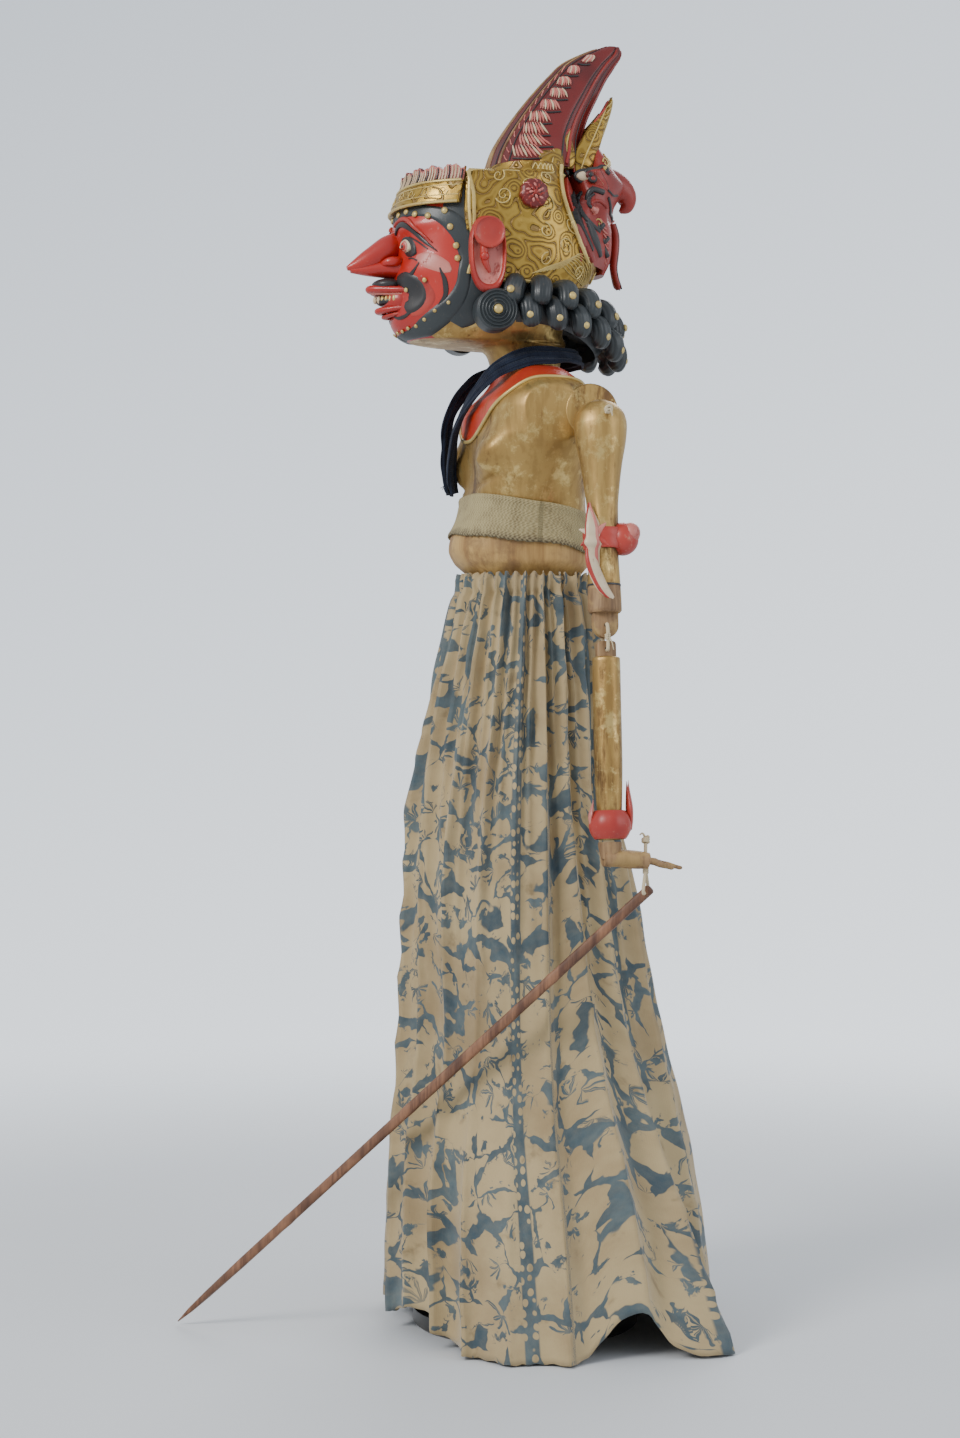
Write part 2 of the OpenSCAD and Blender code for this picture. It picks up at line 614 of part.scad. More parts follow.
hand(-1);  // right_hand
hand_string(1);  // left_hand_string
hand_string(-1);  // right_hand_string
hand_rod(1);  // left_hand_rod
hand_rod(-1);  // right_hand_rod
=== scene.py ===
# %% [markdown]
# # A carved rod puppet on its stand
# The puppet is carved wood, painted in thin coats of gold, red and charcoal, with a gathered
# cotton skirt printed in indigo. The frame holds every place and joint, so this lesson only
# adds surfaces: each piece is a function of two parameters on a numpy grid, worked out as whole
# arrays, and each finish is a small node graph.

# %% Load the frame
import math

import bpy
import numpy as np
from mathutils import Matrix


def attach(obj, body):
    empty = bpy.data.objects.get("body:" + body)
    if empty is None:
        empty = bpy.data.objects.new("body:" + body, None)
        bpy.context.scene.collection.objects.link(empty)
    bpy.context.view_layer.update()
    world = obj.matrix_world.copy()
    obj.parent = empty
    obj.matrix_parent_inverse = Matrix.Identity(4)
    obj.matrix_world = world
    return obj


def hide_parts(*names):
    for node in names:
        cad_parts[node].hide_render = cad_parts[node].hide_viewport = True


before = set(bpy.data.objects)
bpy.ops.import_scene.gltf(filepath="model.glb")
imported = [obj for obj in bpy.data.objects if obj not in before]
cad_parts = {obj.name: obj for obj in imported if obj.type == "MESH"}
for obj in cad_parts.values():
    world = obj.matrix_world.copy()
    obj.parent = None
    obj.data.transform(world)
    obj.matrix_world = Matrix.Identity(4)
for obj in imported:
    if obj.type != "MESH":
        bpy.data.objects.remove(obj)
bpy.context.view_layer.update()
MM = 0.001

# %% [markdown]
# ## Camera, light and floor
# A long lens from the puppet's left side, at half its height, keeps the body's lines upright. Soft
# light comes from two large panels and a pale sky. The floor fades into the sky with distance,
# measured on the floor itself, so no hard horizon shows.

# %% Camera
from mathutils import Matrix, Vector

VIEW_AZIMUTH = math.radians(77)
CAMERA_DISTANCE = 1.25
CAMERA_HEIGHT = 0.30
CAMERA_ASIDE = -0.0225
LENS = 36 * CAMERA_DISTANCE / 0.719

back = Vector((math.sin(VIEW_AZIMUTH), -math.cos(VIEW_AZIMUTH), 0))
right = Vector((math.cos(VIEW_AZIMUTH), math.sin(VIEW_AZIMUTH), 0))
camera = bpy.data.objects.new("camera", bpy.data.cameras.new("camera"))
bpy.context.scene.collection.objects.link(camera)
camera.data.sensor_fit = "VERTICAL"
camera.data.sensor_height = 36
camera.data.lens = LENS
camera.matrix_world = (
    Matrix.Translation(back * CAMERA_DISTANCE + right * CAMERA_ASIDE + Vector((0, 0, CAMERA_HEIGHT)))
    @ Matrix((right, (0, 0, 1), back)).transposed().to_4x4()
)
bpy.context.scene.camera = camera


# %% Lights and sky
def panel(name, place, size, power, tint):
    """A square area light that looks at the puppet's middle."""
    light = bpy.data.lights.new(name, "AREA")
    light.size, light.energy, light.color = size, power, tint
    lamp = bpy.data.objects.new(name, light)
    bpy.context.scene.collection.objects.link(lamp)
    lamp.location = place
    lamp.rotation_euler = (Vector((0, 0, 0.3)) - lamp.location).to_track_quat("-Z", "Y").to_euler()
    return lamp


panel("key_panel", (0.9, -1.5, 1.35), 0.7, 30, (1.0, 0.985, 0.96))
panel("fill_panel", (1.1, 1.3, 0.9), 1.2, 9, (0.93, 0.96, 1.0))
panel("rear_panel", (-1.4, 0.6, 1.3), 1.0, 13, (0.97, 0.98, 1.0))

world = bpy.data.worlds.new("pale_sky")
bpy.context.scene.world = world
world.use_nodes = True
sky = world.node_tree.nodes["Background"]
sky.inputs["Color"].default_value = (0.80, 0.845, 0.90, 1)
sky.inputs["Strength"].default_value = 0.92
# what the camera sees behind the puppet: paler than the light, and palest low on the right
links, make_node = world.node_tree.links, world.node_tree.nodes.new
seen, window = make_node("ShaderNodeBackground"), make_node("ShaderNodeTexCoord")
parts, lift = make_node("ShaderNodeSeparateXYZ"), make_node("ShaderNodeMath")
fade, choose = make_node("ShaderNodeValToRGB"), make_node("ShaderNodeMixShader")
ray = make_node("ShaderNodeLightPath")
RIGHT_PALER = -0.30
lift.operation, lift.inputs[1].default_value = "MULTIPLY_ADD", RIGHT_PALER
fade.color_ramp.elements[0].color, fade.color_ramp.elements[1].color = (1.05, 1.12, 1.20, 1), (0.60, 0.655, 0.73, 1)
links.new(window.outputs["Window"], parts.inputs[0])
links.new(parts.outputs["X"], lift.inputs[0])
links.new(parts.outputs["Y"], lift.inputs[2])
links.new(lift.outputs[0], fade.inputs[0])
links.new(fade.outputs["Color"], seen.inputs["Color"])
seen.inputs["Strength"].default_value = 1.5
links.new(ray.outputs["Is Camera Ray"], choose.inputs[0])
links.new(sky.outputs[0], choose.inputs[1])
links.new(seen.outputs[0], choose.inputs[2])
links.new(choose.outputs[0], world.node_tree.nodes["World Output"].inputs["Surface"])

# %% [markdown]
# ## Node helpers
# A material here is a graph written as sums and products. These few helpers add a node, join its
# inputs, and return its output, so that a finish reads like the recipe a painter would follow.


# %% Graph helper
class Graph:
    """Adds nodes to a tree; every call returns an output socket."""

    def __init__(self, tree):
        self.tree = tree

    def node(self, kind, settings=None, **inputs):
        made = self.tree.nodes.new(kind)
        for key, value in (settings or {}).items():
            setattr(made, key, value)
        for key, value in inputs.items():
            socket = made.inputs[int(key[1:])] if key[0] == "i" and key[1:].isdigit() else made.inputs[key]
            if isinstance(value, bpy.types.NodeSocket):
                self.tree.links.new(value, socket)
            else:
                socket.default_value = value
        return made

    def math(self, operation, a, b=0.0, c=0.0, clamp=False):
        made = self.node("ShaderNodeMath", {"operation": operation, "use_clamp": clamp}, i0=a, i1=b, i2=c)
        return made.outputs[0]

    def mix(self, factor, a, b, blend="MIX"):
        made = self.tree.nodes.new("ShaderNodeMix")
        made.data_type, made.blend_type = "RGBA", blend
        for index, value in ((0, factor), (6, a), (7, b)):
            if isinstance(value, bpy.types.NodeSocket):
                self.tree.links.new(value, made.inputs[index])
            elif index:
                made.inputs[index].default_value = (*value[:3], 1)
            else:
                made.inputs[index].default_value = value
        return made.outputs[2]

    def noise(self, vector, scale, detail=4.0, rough=0.55, distortion=0.0):
        made = self.node("ShaderNodeTexNoise", Vector=vector, Scale=scale, Detail=detail, Roughness=rough)
        made.inputs["Distortion"].default_value = distortion
        return made.outputs["Fac"]

    def ramp(self, value, low, high):
        """0 below low, 1 above high, smooth between."""
        made = self.node("ShaderNodeMapRange", {"interpolation_type": "SMOOTHSTEP"}, Value=value)
        made.inputs["From Min"].default_value = low
        made.inputs["From Max"].default_value = high
        return made.outputs["Result"]

    def object_vector(self):
        return self.node("ShaderNodeTexCoord").outputs["Object"]

    def scaled(self, vector, scale):
        made = self.node("ShaderNodeVectorMath", {"operation": "MULTIPLY"}, i0=vector)
        made.inputs[1].default_value = scale
        return made.outputs[0]


def group(name, inputs, outputs, build):
    """A shader node group; inputs and outputs are {name: (socket kind, default)}."""
    tree = bpy.data.node_groups.new(name, "ShaderNodeTree")
    for key, (kind, default) in inputs.items():
        socket = tree.interface.new_socket(key, in_out="INPUT", socket_type=kind)
        if default is not None:
            socket.default_value = default
    for key, kind in outputs.items():
        tree.interface.new_socket(key, in_out="OUTPUT", socket_type=kind)
    ends = tree.nodes.new("NodeGroupInput"), tree.nodes.new("NodeGroupOutput")
    made = build(Graph(tree), ends[0].outputs)
    for key, value in made.items():
        tree.links.new(value, ends[1].inputs[key])
    return tree


COLOR, VALUE, VECTOR = "NodeSocketColor", "NodeSocketFloat", "NodeSocketVector"


# %% [markdown]
# ## Shared effects
# Old thin paint shows three things: patches rubbed through to the layer below, fine scratches, and
# dirt. Bare wood shows long grain. Cloth shows its two sets of threads. Each effect is one group,
# used again with other colours and scales.


# %% Effect groups
def build_worn_paint(g, given):
    """Large and small noise decide where the paint is rubbed through; tone drifts between."""
    rubbed = g.noise(given["Vector"], given["Scale"], 6, 0.62, 0.4)
    fine = g.noise(g.scaled(given["Vector"], (1, 1, 0.45)), g.math("MULTIPLY", given["Scale"], 7.0), 5, 0.7)
    both = g.math("ADD", g.math("MULTIPLY", rubbed, 0.65), g.math("MULTIPLY", fine, 0.35))
    edge = g.math("SUBTRACT", 0.92, g.math("MULTIPLY", given["Wear"], 0.5))
    made = g.node("ShaderNodeMapRange", {"interpolation_type": "SMOOTHSTEP"}, Value=both)
    g.tree.links.new(edge, made.inputs["From Max"])
    g.tree.links.new(g.math("SUBTRACT", edge, 0.12), made.inputs["From Min"])
    worn = made.outputs["Result"]
    drift = g.noise(given["Vector"], g.math("MULTIPLY", given["Scale"], 0.45), 3, 0.5)
    toned = g.mix(g.ramp(drift, 0.3, 0.7), given["Paint"], given["Paint Deep"])
    fleck = g.ramp(fine, 0.60, 0.72)
    toned = g.mix(g.math("MULTIPLY", fleck, 0.35), toned, given["Under"])
    return {
        "Color": g.mix(worn, toned, given["Under"]),
        "Worn": worn,
        "Height": g.math("SUBTRACT", g.math("MULTIPLY", fine, 0.4), worn),
    }


worn_paint = group(
    "worn_paint",
    {
        "Vector": (VECTOR, None),
        "Paint": (COLOR, (1, 1, 1, 1)),
        "Paint Deep": (COLOR, (1, 1, 1, 1)),
        "Under": (COLOR, (1, 1, 1, 1)),
        "Wear": (VALUE, 0.5),
        "Scale": (VALUE, 60.0),
    },
    {"Color": COLOR, "Worn": VALUE, "Height": VALUE},
    build_worn_paint,
)


def build_wood_grain(g, given):
    """Noise stretched along the grain gives streaks; a second, finer one gives pores."""
    streaks = g.noise(g.scaled(given["Vector"], (1, 1, 0.09)), given["Scale"], 5, 0.6, 0.6)
    pores = g.noise(g.scaled(given["Vector"], (1, 1, 0.05)), g.math("MULTIPLY", given["Scale"], 5.0), 3, 0.7)
    tone = g.math("ADD", g.math("MULTIPLY", streaks, 0.7), g.math("MULTIPLY", pores, 0.3))
    return {"Color": g.mix(g.ramp(tone, 0.36, 0.64), given["Dark"], given["Light"]), "Height": tone}


wood_grain = group(
    "wood_grain",
    {
        "Vector": (VECTOR, None),
        "Dark": (COLOR, (0, 0, 0, 1)),
        "Light": (COLOR, (1, 1, 1, 1)),
        "Scale": (VALUE, 120.0),
    },
    {"Color": COLOR, "Height": VALUE},
    build_wood_grain,
)


def build_weave(g, given):
    """Warp and weft are two sine waves across the cloth's own width and length, broken by slubs."""
    parts = g.node("ShaderNodeSeparateXYZ", Vector=given["UV"])
    turns = g.math("MULTIPLY", given["Threads"], 2 * math.pi)
    slub = g.math("MULTIPLY", g.noise(given["UV"], 900, 2, 0.6), 2.4)
    warp = g.math("SINE", g.math("ADD", g.math("MULTIPLY", parts.outputs[0], turns), slub))
    weft = g.math("SINE", g.math("ADD", g.math("MULTIPLY", parts.outputs[1], turns), slub))
    return {"Height": g.math("MULTIPLY", g.math("ADD", g.math("MAXIMUM", warp, weft), 1.0), 0.5)}


weave = group(
    "weave",
    {"UV": (VECTOR, None), "Threads": (VALUE, 1500.0)},
    {"Height": VALUE},
    build_weave,
)


# %% Material maker
def material(name, build, roughness=0.6, bump=0.3, bump_distance=0.0004, **plain):
    """A Principled material; build(graph) returns a dict of Color, and maybe Rough, Height, Metal."""
    made = bpy.data.materials.new(name)
    made.use_nodes = True
    shader = made.node_tree.nodes["Principled BSDF"]
    g = Graph(made.node_tree)
    result = build(g)
    g.tree.links.new(result["Color"], shader.inputs["Base Color"])
    shader.inputs["Roughness"].default_value = roughness
    for key, socket in (("Rough", "Roughness"), ("Metal", "Metallic"), ("Alpha", "Alpha"), ("Coat", "Coat Weight")):
        if key in result:
            g.tree.links.new(result[key], shader.inputs[socket])
    for key, value in plain.items():
        shader.inputs[key.replace("_", " ")].default_value = value
    if "Height" in result:
        relief = g.node("ShaderNodeBump", Height=result["Height"], Strength=bump, Distance=bump_distance)
        g.tree.links.new(relief.outputs[0], shader.inputs["Normal"])
    return made


def painted(paint, deep, under, wear, scale, stretch=(1, 1, 1)):
    """The recipe of most of the puppet: a worn coat over what lies beneath."""

    def build(g):
        made = g.node("ShaderNodeGroup", {"node_tree": worn_paint}, Vector=g.scaled(g.object_vector(), stretch))
        made.inputs["Paint"].default_value = (*paint, 1)
        made.inputs["Paint Deep"].default_value = (*deep, 1)
        made.inputs["Under"].default_value = (*under, 1)
        made.inputs["Wear"].default_value = wear
        made.inputs["Scale"].default_value = scale
        rough = g.math("ADD", 0.38, g.math("MULTIPLY", made.outputs["Worn"], 0.35))
        return {"Color": made.outputs["Color"], "Height": made.outputs["Height"], "Rough": rough}

    return build


# %% [markdown]
# ## Finishes
# Gold paint on this wood is not a mirror: it is metal powder in varnish, so it is only part
# metallic, and brown shows wherever hands have rubbed. Red and coral are glossier. The belly and
# hands are nearly bare wood.


# %% Painted finishes
def build_gold_skin(g):
    """Worn gold with brown wear, streaked down the carving, and real metal in it."""
    result = painted((0.50, 0.325, 0.105), (0.32, 0.19, 0.055), (0.12, 0.06, 0.02), 0.60, 42, (1, 1, 0.42))(g)
    at = g.object_vector()
    shine = g.noise(at, 95, 6, 0.72)
    bright = g.ramp(shine, 0.50, 0.66)
    stroke = g.ramp(g.noise(g.scaled(at, (1, 1, 0.18)), 240, 4, 0.6), 0.44, 0.62)
    tone = g.mix(g.math("MULTIPLY", stroke, 0.35), result["Color"], (0.20, 0.105, 0.028))
    result["Color"] = g.mix(g.math("MULTIPLY", bright, 0.6), tone, (0.80, 0.60, 0.24))
    result["Metal"] = g.math("ADD", 0.62, g.math("MULTIPLY", bright, 0.3))
    result["Rough"] = g.math("SUBTRACT", 0.42, g.math("MULTIPLY", bright, 0.12))
    return result


def build_carved_gold(g):
    """Gold on incised scrolls: fine bent lines that curl round scattered centres, with painted shade dark in the cuts
    and a painted highlight on the crests between them.
    """
    at = g.object_vector()
    bend = g.noise(at, 55, 3, 0.5)
    cells = g.node("ShaderNodeTexVoronoi", {"feature": "SMOOTH_F1"}, Vector=at, Scale=110.0)
    swirl = g.math("ADD", g.math("MULTIPLY", cells.outputs["Distance"], 40.0), g.math("MULTIPLY", bend, 17.0))
    ridge = g.math("ADD", g.math("MULTIPLY", g.math("SINE", swirl), 0.5), 0.5)
    # the cuts are coloured dark: painted shade in the grooves
    cut = g.ramp(ridge, 0.0, 0.2)
    result = painted((0.36, 0.225, 0.042), (0.27, 0.155, 0.03), (0.11, 0.06, 0.02), 0.42, 60)(g)
    # painted highlight: the crests between the cuts are mixed toward a pale gold
    crest_highlight = g.mix(g.math("MULTIPLY", g.ramp(ridge, 0.55, 1.0), 0.45), result["Color"], (0.56, 0.37, 0.085))
    return {
        "Color": g.mix(cut, (0.23, 0.135, 0.036), crest_highlight),
        "Metal": g.math("ADD", 0.3, g.math("MULTIPLY", cut, 0.5)),
        "Rough": g.math("SUBTRACT", result["Rough"], 0.04),
        "Height": g.math("ADD", cut, g.math("MULTIPLY", result["Height"], 0.15)),
    }


def build_rod_wood(g):
    """Bamboo: reddish brown with long streaks and dark stains."""
    made = g.node("ShaderNodeGroup", {"node_tree": wood_grain}, Vector=g.object_vector())
    made.inputs["Dark"].default_value = (0.085, 0.032, 0.016, 1)
    made.inputs["Light"].default_value = (0.27, 0.125, 0.062, 1)
    made.inputs["Scale"].default_value = 170
    stain = g.ramp(g.noise(g.object_vector(), 28, 4, 0.6), 0.42, 0.62)
    return {
        "Color": g.mix(g.math("MULTIPLY", stain, 0.55), made.outputs["Color"], (0.06, 0.024, 0.013)),
        "Height": made.outputs["Height"],
    }


def build_bare_wood(g):
    """Brown wood grain with traces of gold left in the hollows."""
    made = g.node("ShaderNodeGroup", {"node_tree": wood_grain}, Vector=g.object_vector())
    made.inputs["Dark"].default_value = (0.13, 0.068, 0.028, 1)
    made.inputs["Light"].default_value = (0.32, 0.19, 0.085, 1)
    made.inputs["Scale"].default_value = 150
    left = g.ramp(g.noise(g.object_vector(), 70, 5, 0.6), 0.5, 0.62)
    return {
        "Color": g.mix(g.math("MULTIPLY", left, 0.6), made.outputs["Color"], (0.42, 0.27, 0.09)),
        "Height": made.outputs["Height"],
    }


def build_belly(g):
    """Pale skin-coloured wood with brown stains and long grain."""
    made = g.node("ShaderNodeGroup", {"node_tree": wood_grain}, Vector=g.object_vector())
    made.inputs["Dark"].default_value = (0.27, 0.145, 0.045, 1)
    made.inputs["Light"].default_value = (0.47, 0.29, 0.095, 1)
    made.inputs["Scale"].default_value = 90
    stain = g.ramp(g.noise(g.object_vector(), 55, 6, 0.65), 0.50, 0.64)
    return {
        "Color": g.mix(g.math("MULTIPLY", stain, 0.6), made.outputs["Color"], (0.15, 0.075, 0.03)),
        "Height": made.outputs["Height"],
    }


gold_skin = material("gold_skin", build_gold_skin, bump=0.35)
carved_gold = material("carved_gold", build_carved_gold, bump=0.9, bump_distance=0.0011)
rod_wood = material("rod_wood", build_rod_wood, roughness=0.55, bump=0.35)
bare_wood = material("bare_wood", build_bare_wood, roughness=0.6, bump=0.35)
belly_wood = material("belly_wood", build_belly, roughness=0.58, bump=0.3)
face_red = material(
    "face_red", painted((0.47, 0.018, 0.008), (0.33, 0.010, 0.006), (0.50, 0.14, 0.11), 0.46, 46), Coat_Weight=0.3
)
yoke_red = material("yoke_red", painted((0.50, 0.045, 0.012), (0.40, 0.028, 0.010), (0.26, 0.085, 0.03), 0.5, 60))
coral = material("coral", painted((0.42, 0.040, 0.026), (0.31, 0.022, 0.016), (0.50, 0.19, 0.13), 0.46, 95))
crest_red = material("crest_red", painted((0.145, 0.010, 0.009), (0.075, 0.006, 0.006), (0.035, 0.012, 0.010), 0.45,
                                          60))
mask_red = material("mask_red", painted((0.30, 0.026, 0.017), (0.20, 0.016, 0.012), (0.09, 0.02, 0.015), 0.42, 70))
rose = material("rose", painted((0.56, 0.20, 0.16), (0.46, 0.12, 0.10), (0.28, 0.045, 0.035), 0.5, 140))
cream = material("cream", painted((0.62, 0.50, 0.34), (0.50, 0.37, 0.23), (0.30, 0.16, 0.09), 0.45, 160))
ink = material("ink", painted((0.018, 0.018, 0.020), (0.026, 0.024, 0.024), (0.08, 0.05, 0.035), 0.40, 90))
charcoal = material("charcoal", painted((0.030, 0.037, 0.040), (0.020, 0.024, 0.027), (0.10, 0.085, 0.065), 0.42, 70))
gold_dot = material("gold_dot", painted((0.60, 0.46, 0.17), (0.48, 0.34, 0.11), (0.22, 0.13, 0.05), 0.4, 220),
                    Metallic=0.35)
lacquer = material("lacquer", painted((0.014, 0.013, 0.012), (0.02, 0.018, 0.016), (0.09, 0.05, 0.03), 0.34, 40),
                   Coat_Weight=0.3)
print("painted finishes:", len(bpy.data.materials))

# %% [markdown]
# ## Cloth finishes
# The skirt's pattern is a resist print: indigo sinks in where the wax was open, so its shapes have
# soft crackled edges. Everything is drawn in the cloth's own UV, in metres, so the motifs follow
# the folds. Three layers make it: crackle lines, scattered leaf-like hands, and dotted bands.


# %% Batik cloth
def build_batik(g):
    uv = g.node("ShaderNodeUVMap", {"uv_map": "cloth"}).outputs[0]
    wobble = g.node("ShaderNodeTexNoise", Vector=uv, Scale=60.0, Detail=3.0)
    shift = g.node("ShaderNodeVectorMath", {"operation": "SUBTRACT"}, i0=wobble.outputs["Color"], i1=(0.5, 0.5, 0.5))
    shift = g.scaled(shift.outputs[0], (0.016, 0.016, 0))
    bent = g.node("ShaderNodeVectorMath", {"operation": "ADD"}, i0=uv, i1=shift).outputs[0]
    # crackle: thick and thin lines between cells
    edge = g.node("ShaderNodeTexVoronoi", {"feature": "DISTANCE_TO_EDGE"}, Vector=bent, Scale=52.0).outputs["Distance"]
    width = g.math("MULTIPLY", g.ramp(g.noise(uv, 60, 2, 0.5), 0.38, 0.66), 0.125)
    lines = g.ramp(g.math("SUBTRACT", width, edge), 0.0, 0.022)
    # leaf-like hands: petals round scattered points, each turned its own way
    cells = g.node("ShaderNodeTexVoronoi", {"feature": "F1"}, Vector=bent, Scale=66.0)
    away = g.node("ShaderNodeVectorMath", {"operation": "SUBTRACT"}, i0=bent, i1=cells.outputs["Position"])
    parts = g.node("ShaderNodeSeparateXYZ", Vector=away.outputs[0])
    tint = g.node("ShaderNodeSeparateColor", Color=cells.outputs["Color"])
    angle = g.math("ARCTAN2", parts.outputs[1], parts.outputs[0])
    turned = g.math("ADD", angle, g.math("MULTIPLY", tint.outputs[0], 6.3))
    fingers = g.math("SINE", g.math("MULTIPLY", turned, 8.0))
    half = g.ramp(g.math("COSINE", turned), -0.25, 0.15)
    reach = g.math("MULTIPLY", half, g.math("ADD", 0.36, g.math("MULTIPLY", fingers, 0.20)))
    leaf = g.ramp(g.math("SUBTRACT", reach, cells.outputs["Distance"]), 0.0, 0.03)
    chosen = g.ramp(tint.outputs[1], 0.34, 0.38)
    vein = g.ramp(g.math("SINE", g.math("MULTIPLY", turned, 18.0)), 0.55, 0.9)
    leaf = g.math("MULTIPLY", g.math("MULTIPLY", leaf, chosen), g.math("SUBTRACT", 1.0, g.math("MULTIPLY", vein, 0.6)))
    # blots where the wax had flaked
    blots = g.ramp(g.noise(bent, 95, 4, 0.62), 0.585, 0.625)
    # dotted bands that run down the cloth
    place = g.node("ShaderNodeSeparateXYZ", Vector=uv)
    across = g.math("PINGPONG", place.outputs[0], 0.105)
    band = g.ramp(g.math("SUBTRACT", 0.0048, g.math("ABSOLUTE", g.math("SUBTRACT", across, 0.058))), 0.0, 0.0012)
    dots = g.node("ShaderNodeTexVoronoi", {"feature": "F1"}, Vector=uv, Scale=190.0,
                  Randomness=0.45).outputs["Distance"]
    dots = g.ramp(dots, 0.30, 0.38)
    banded = g.math("MULTIPLY", band, dots)
    dye = g.math("MAXIMUM", g.math("MAXIMUM", lines, leaf), g.math("MAXIMUM", blots, banded))
    open_wax = g.math("MULTIPLY", band, g.math("SUBTRACT", 1.0, dots))
    dye = g.math("MULTIPLY", dye, g.math("SUBTRACT", 1.0, open_wax))
    # ground: washed tan, stained and sun-faded
    ground = g.mix(g.ramp(g.noise(uv, 16, 5, 0.6), 0.35, 0.68), (0.44, 0.335, 0.175), (0.30, 0.215, 0.108))
    ground = g.mix(g.math("MULTIPLY", g.ramp(g.noise(uv, 60, 4, 0.6), 0.56, 0.7), 0.5), ground, (0.115, 0.075, 0.034))
    indigo = g.mix(g.ramp(g.noise(uv, 48, 4, 0.6), 0.35, 0.7), (0.030, 0.062, 0.085), (0.085, 0.125, 0.140))
    fade = g.math("MULTIPLY", dye, g.math("ADD", 0.78, g.math("MULTIPLY", g.noise(uv, 220, 3, 0.6), 0.28)))
    cloth = g.node("ShaderNodeGroup", {"node_tree": weave}, UV=uv)
    cloth.inputs["Threads"].default_value = 1500
    return {"Color": g.mix(g.math("MINIMUM", fade, 0.97), ground, indigo), "Height": cloth.outputs["Height"]}


def plain_cloth(light, dark, threads, noise_scale):
    """A woven cloth of one colour that drifts between two tones, with a painted highlight on the raised threads."""

    def build(g):
        uv = g.node("ShaderNodeUVMap", {"uv_map": "cloth"}).outputs[0]
        made = g.node("ShaderNodeGroup", {"node_tree": weave}, UV=uv)
        made.inputs["Threads"].default_value = threads
        tone = g.mix(g.ramp(g.noise(uv, noise_scale, 5, 0.65), 0.35, 0.65), dark, light)
        # painted highlight: the raised threads are mixed toward the light tone
        tone = g.mix(g.math("MULTIPLY", made.outputs["Height"], 0.45), tone, light)
        return {"Color": tone, "Height": made.outputs["Height"]}

    return build


def build_tape(g):
    """Woven tape: rows of small diagonal stitches, with plain selvedges, brown dirt, and darkening toward its lower
    edge.
    """
    uv = g.node("ShaderNodeUVMap", {"uv_map": "cloth"}).outputs[0]
    parts = g.node("ShaderNodeSeparateXYZ", Vector=uv)
    along = g.math("MULTIPLY", parts.outputs[0], 2 * math.pi * 520)
    rows = g.math("MULTIPLY", parts.outputs[1], 2 * math.pi * 430)
    zigzag = g.math("MULTIPLY", g.math("SINE", g.math("MULTIPLY", parts.outputs[1], 2 * math.pi * 190)), 2.2)
    stitch = g.math("MULTIPLY", g.math("SINE", g.math("ADD", along, zigzag)), g.math("SINE", rows))
    height = g.math("ADD", g.math("MULTIPLY", stitch, 0.5), 0.5)
    dirt = g.ramp(g.noise(uv, 90, 5, 0.65), 0.42, 0.66)
    base = g.mix(g.math("MULTIPLY", dirt, 0.7), (0.31, 0.25, 0.118), (0.135, 0.095, 0.042))
    # darker toward the tape's lower edge
    low = g.ramp(g.math("ADD", parts.outputs[1], g.math("MULTIPLY", g.noise(uv, 260, 3, 0.6), 0.006)), 0.0075, 0.0035)
    base = g.mix(g.math("MULTIPLY", low, 0.85), base, (0.045, 0.028, 0.018))
    return {"Color": g.mix(g.math("MULTIPLY", height, 0.55), base, (0.50, 0.42, 0.23)), "Height": height}


batik = material("batik_cloth", build_batik, roughness=0.9, bump=0.18, bump_distance=0.0003, Sheen_Weight=0.25)
navy = material("navy_cloth", plain_cloth((0.016, 0.022, 0.040), (0.006, 0.008, 0.017), 900, 120), roughness=1.0,
                bump=0.6, bump_distance=0.0005, Sheen_Weight=0.1, Specular_IOR_Level=0.15)
tape = material("woven_tape", build_tape, roughness=0.9, bump=0.7, bump_distance=0.0005)
thread = material("thread", plain_cloth((0.62, 0.52, 0.34), (0.40, 0.31, 0.19), 700, 400), roughness=0.85)
print("cloth finishes ready")

# %% [markdown]
# ## Surfaces from arrays
# A carved piece is a stack of sections: a table gives front, back and half width at a few
# heights, a monotone cubic joins them, and a superellipse closes each section. Every helper
# returns arrays of points in millimetres, and `Piece` gathers them into one mesh.


# %% Curves and grids
def smooth(rows, at):
    """Monotone cubic through a table whose first column is the parameter."""
    rows = np.asarray(rows, float)
    x, y = rows[:, 0], rows[:, 1:]
    step = np.diff(x)
    slope = np.diff(y, axis=0) / step[:, None]
    bend = np.zeros_like(y)
    bend[0], bend[-1] = slope[0], slope[-1]
    same = slope[:-1] * slope[1:] > 0
    total = np.where(same, slope[:-1] + slope[1:], 1)
    bend[1:-1] = np.where(same, 2 * slope[:-1] * slope[1:] / total, 0)
    at = np.clip(np.asarray(at, float), x[0], x[-1])
    i = np.clip(np.searchsorted(x, at, side="right") - 1, 0, len(x) - 2)
    d = step[i][..., None]
    t = ((at - x[i]) / step[i])[..., None]
    return (
        y[i] * (1 + 2 * t) * (1 - t) ** 2
        + y[i + 1] * t * t * (3 - 2 * t)
        + d * (bend[i] * t * (1 - t) ** 2 - bend[i + 1] * t * t * (1 - t))
    )


def spline(points, count):
    """A smooth curve through points: Catmull-Rom, sampled evenly by point."""
    p = np.asarray(points, float)
    p = np.vstack([2 * p[0] - p[1], p, 2 * p[-1] - p[-2]])
    u = np.linspace(0, len(p) - 3 - 1e-9, count)
    i = u.astype(int)
    t = (u - i)[:, None]
    a, b, c, d = p[i], p[i + 1], p[i + 2], p[i + 3]
    return 0.5 * (2 * b + (c - a) * t + (2 * a - 5 * b + 4 * c - d) * t**2 + (3 * b - a - 3 * c + d) * t**3)


def bell(v, centre, width):
    return np.exp(-(((v - centre) / width) ** 2))


def around(a, b):
    """Difference of two angles in degrees, from -180 to 180."""
    return (a - b + 540) % 360 - 180


def ease(v, low, high):
    t = np.clip((v - low) / (high - low), 0, 1)
    return t * t * (3 - 2 * t)


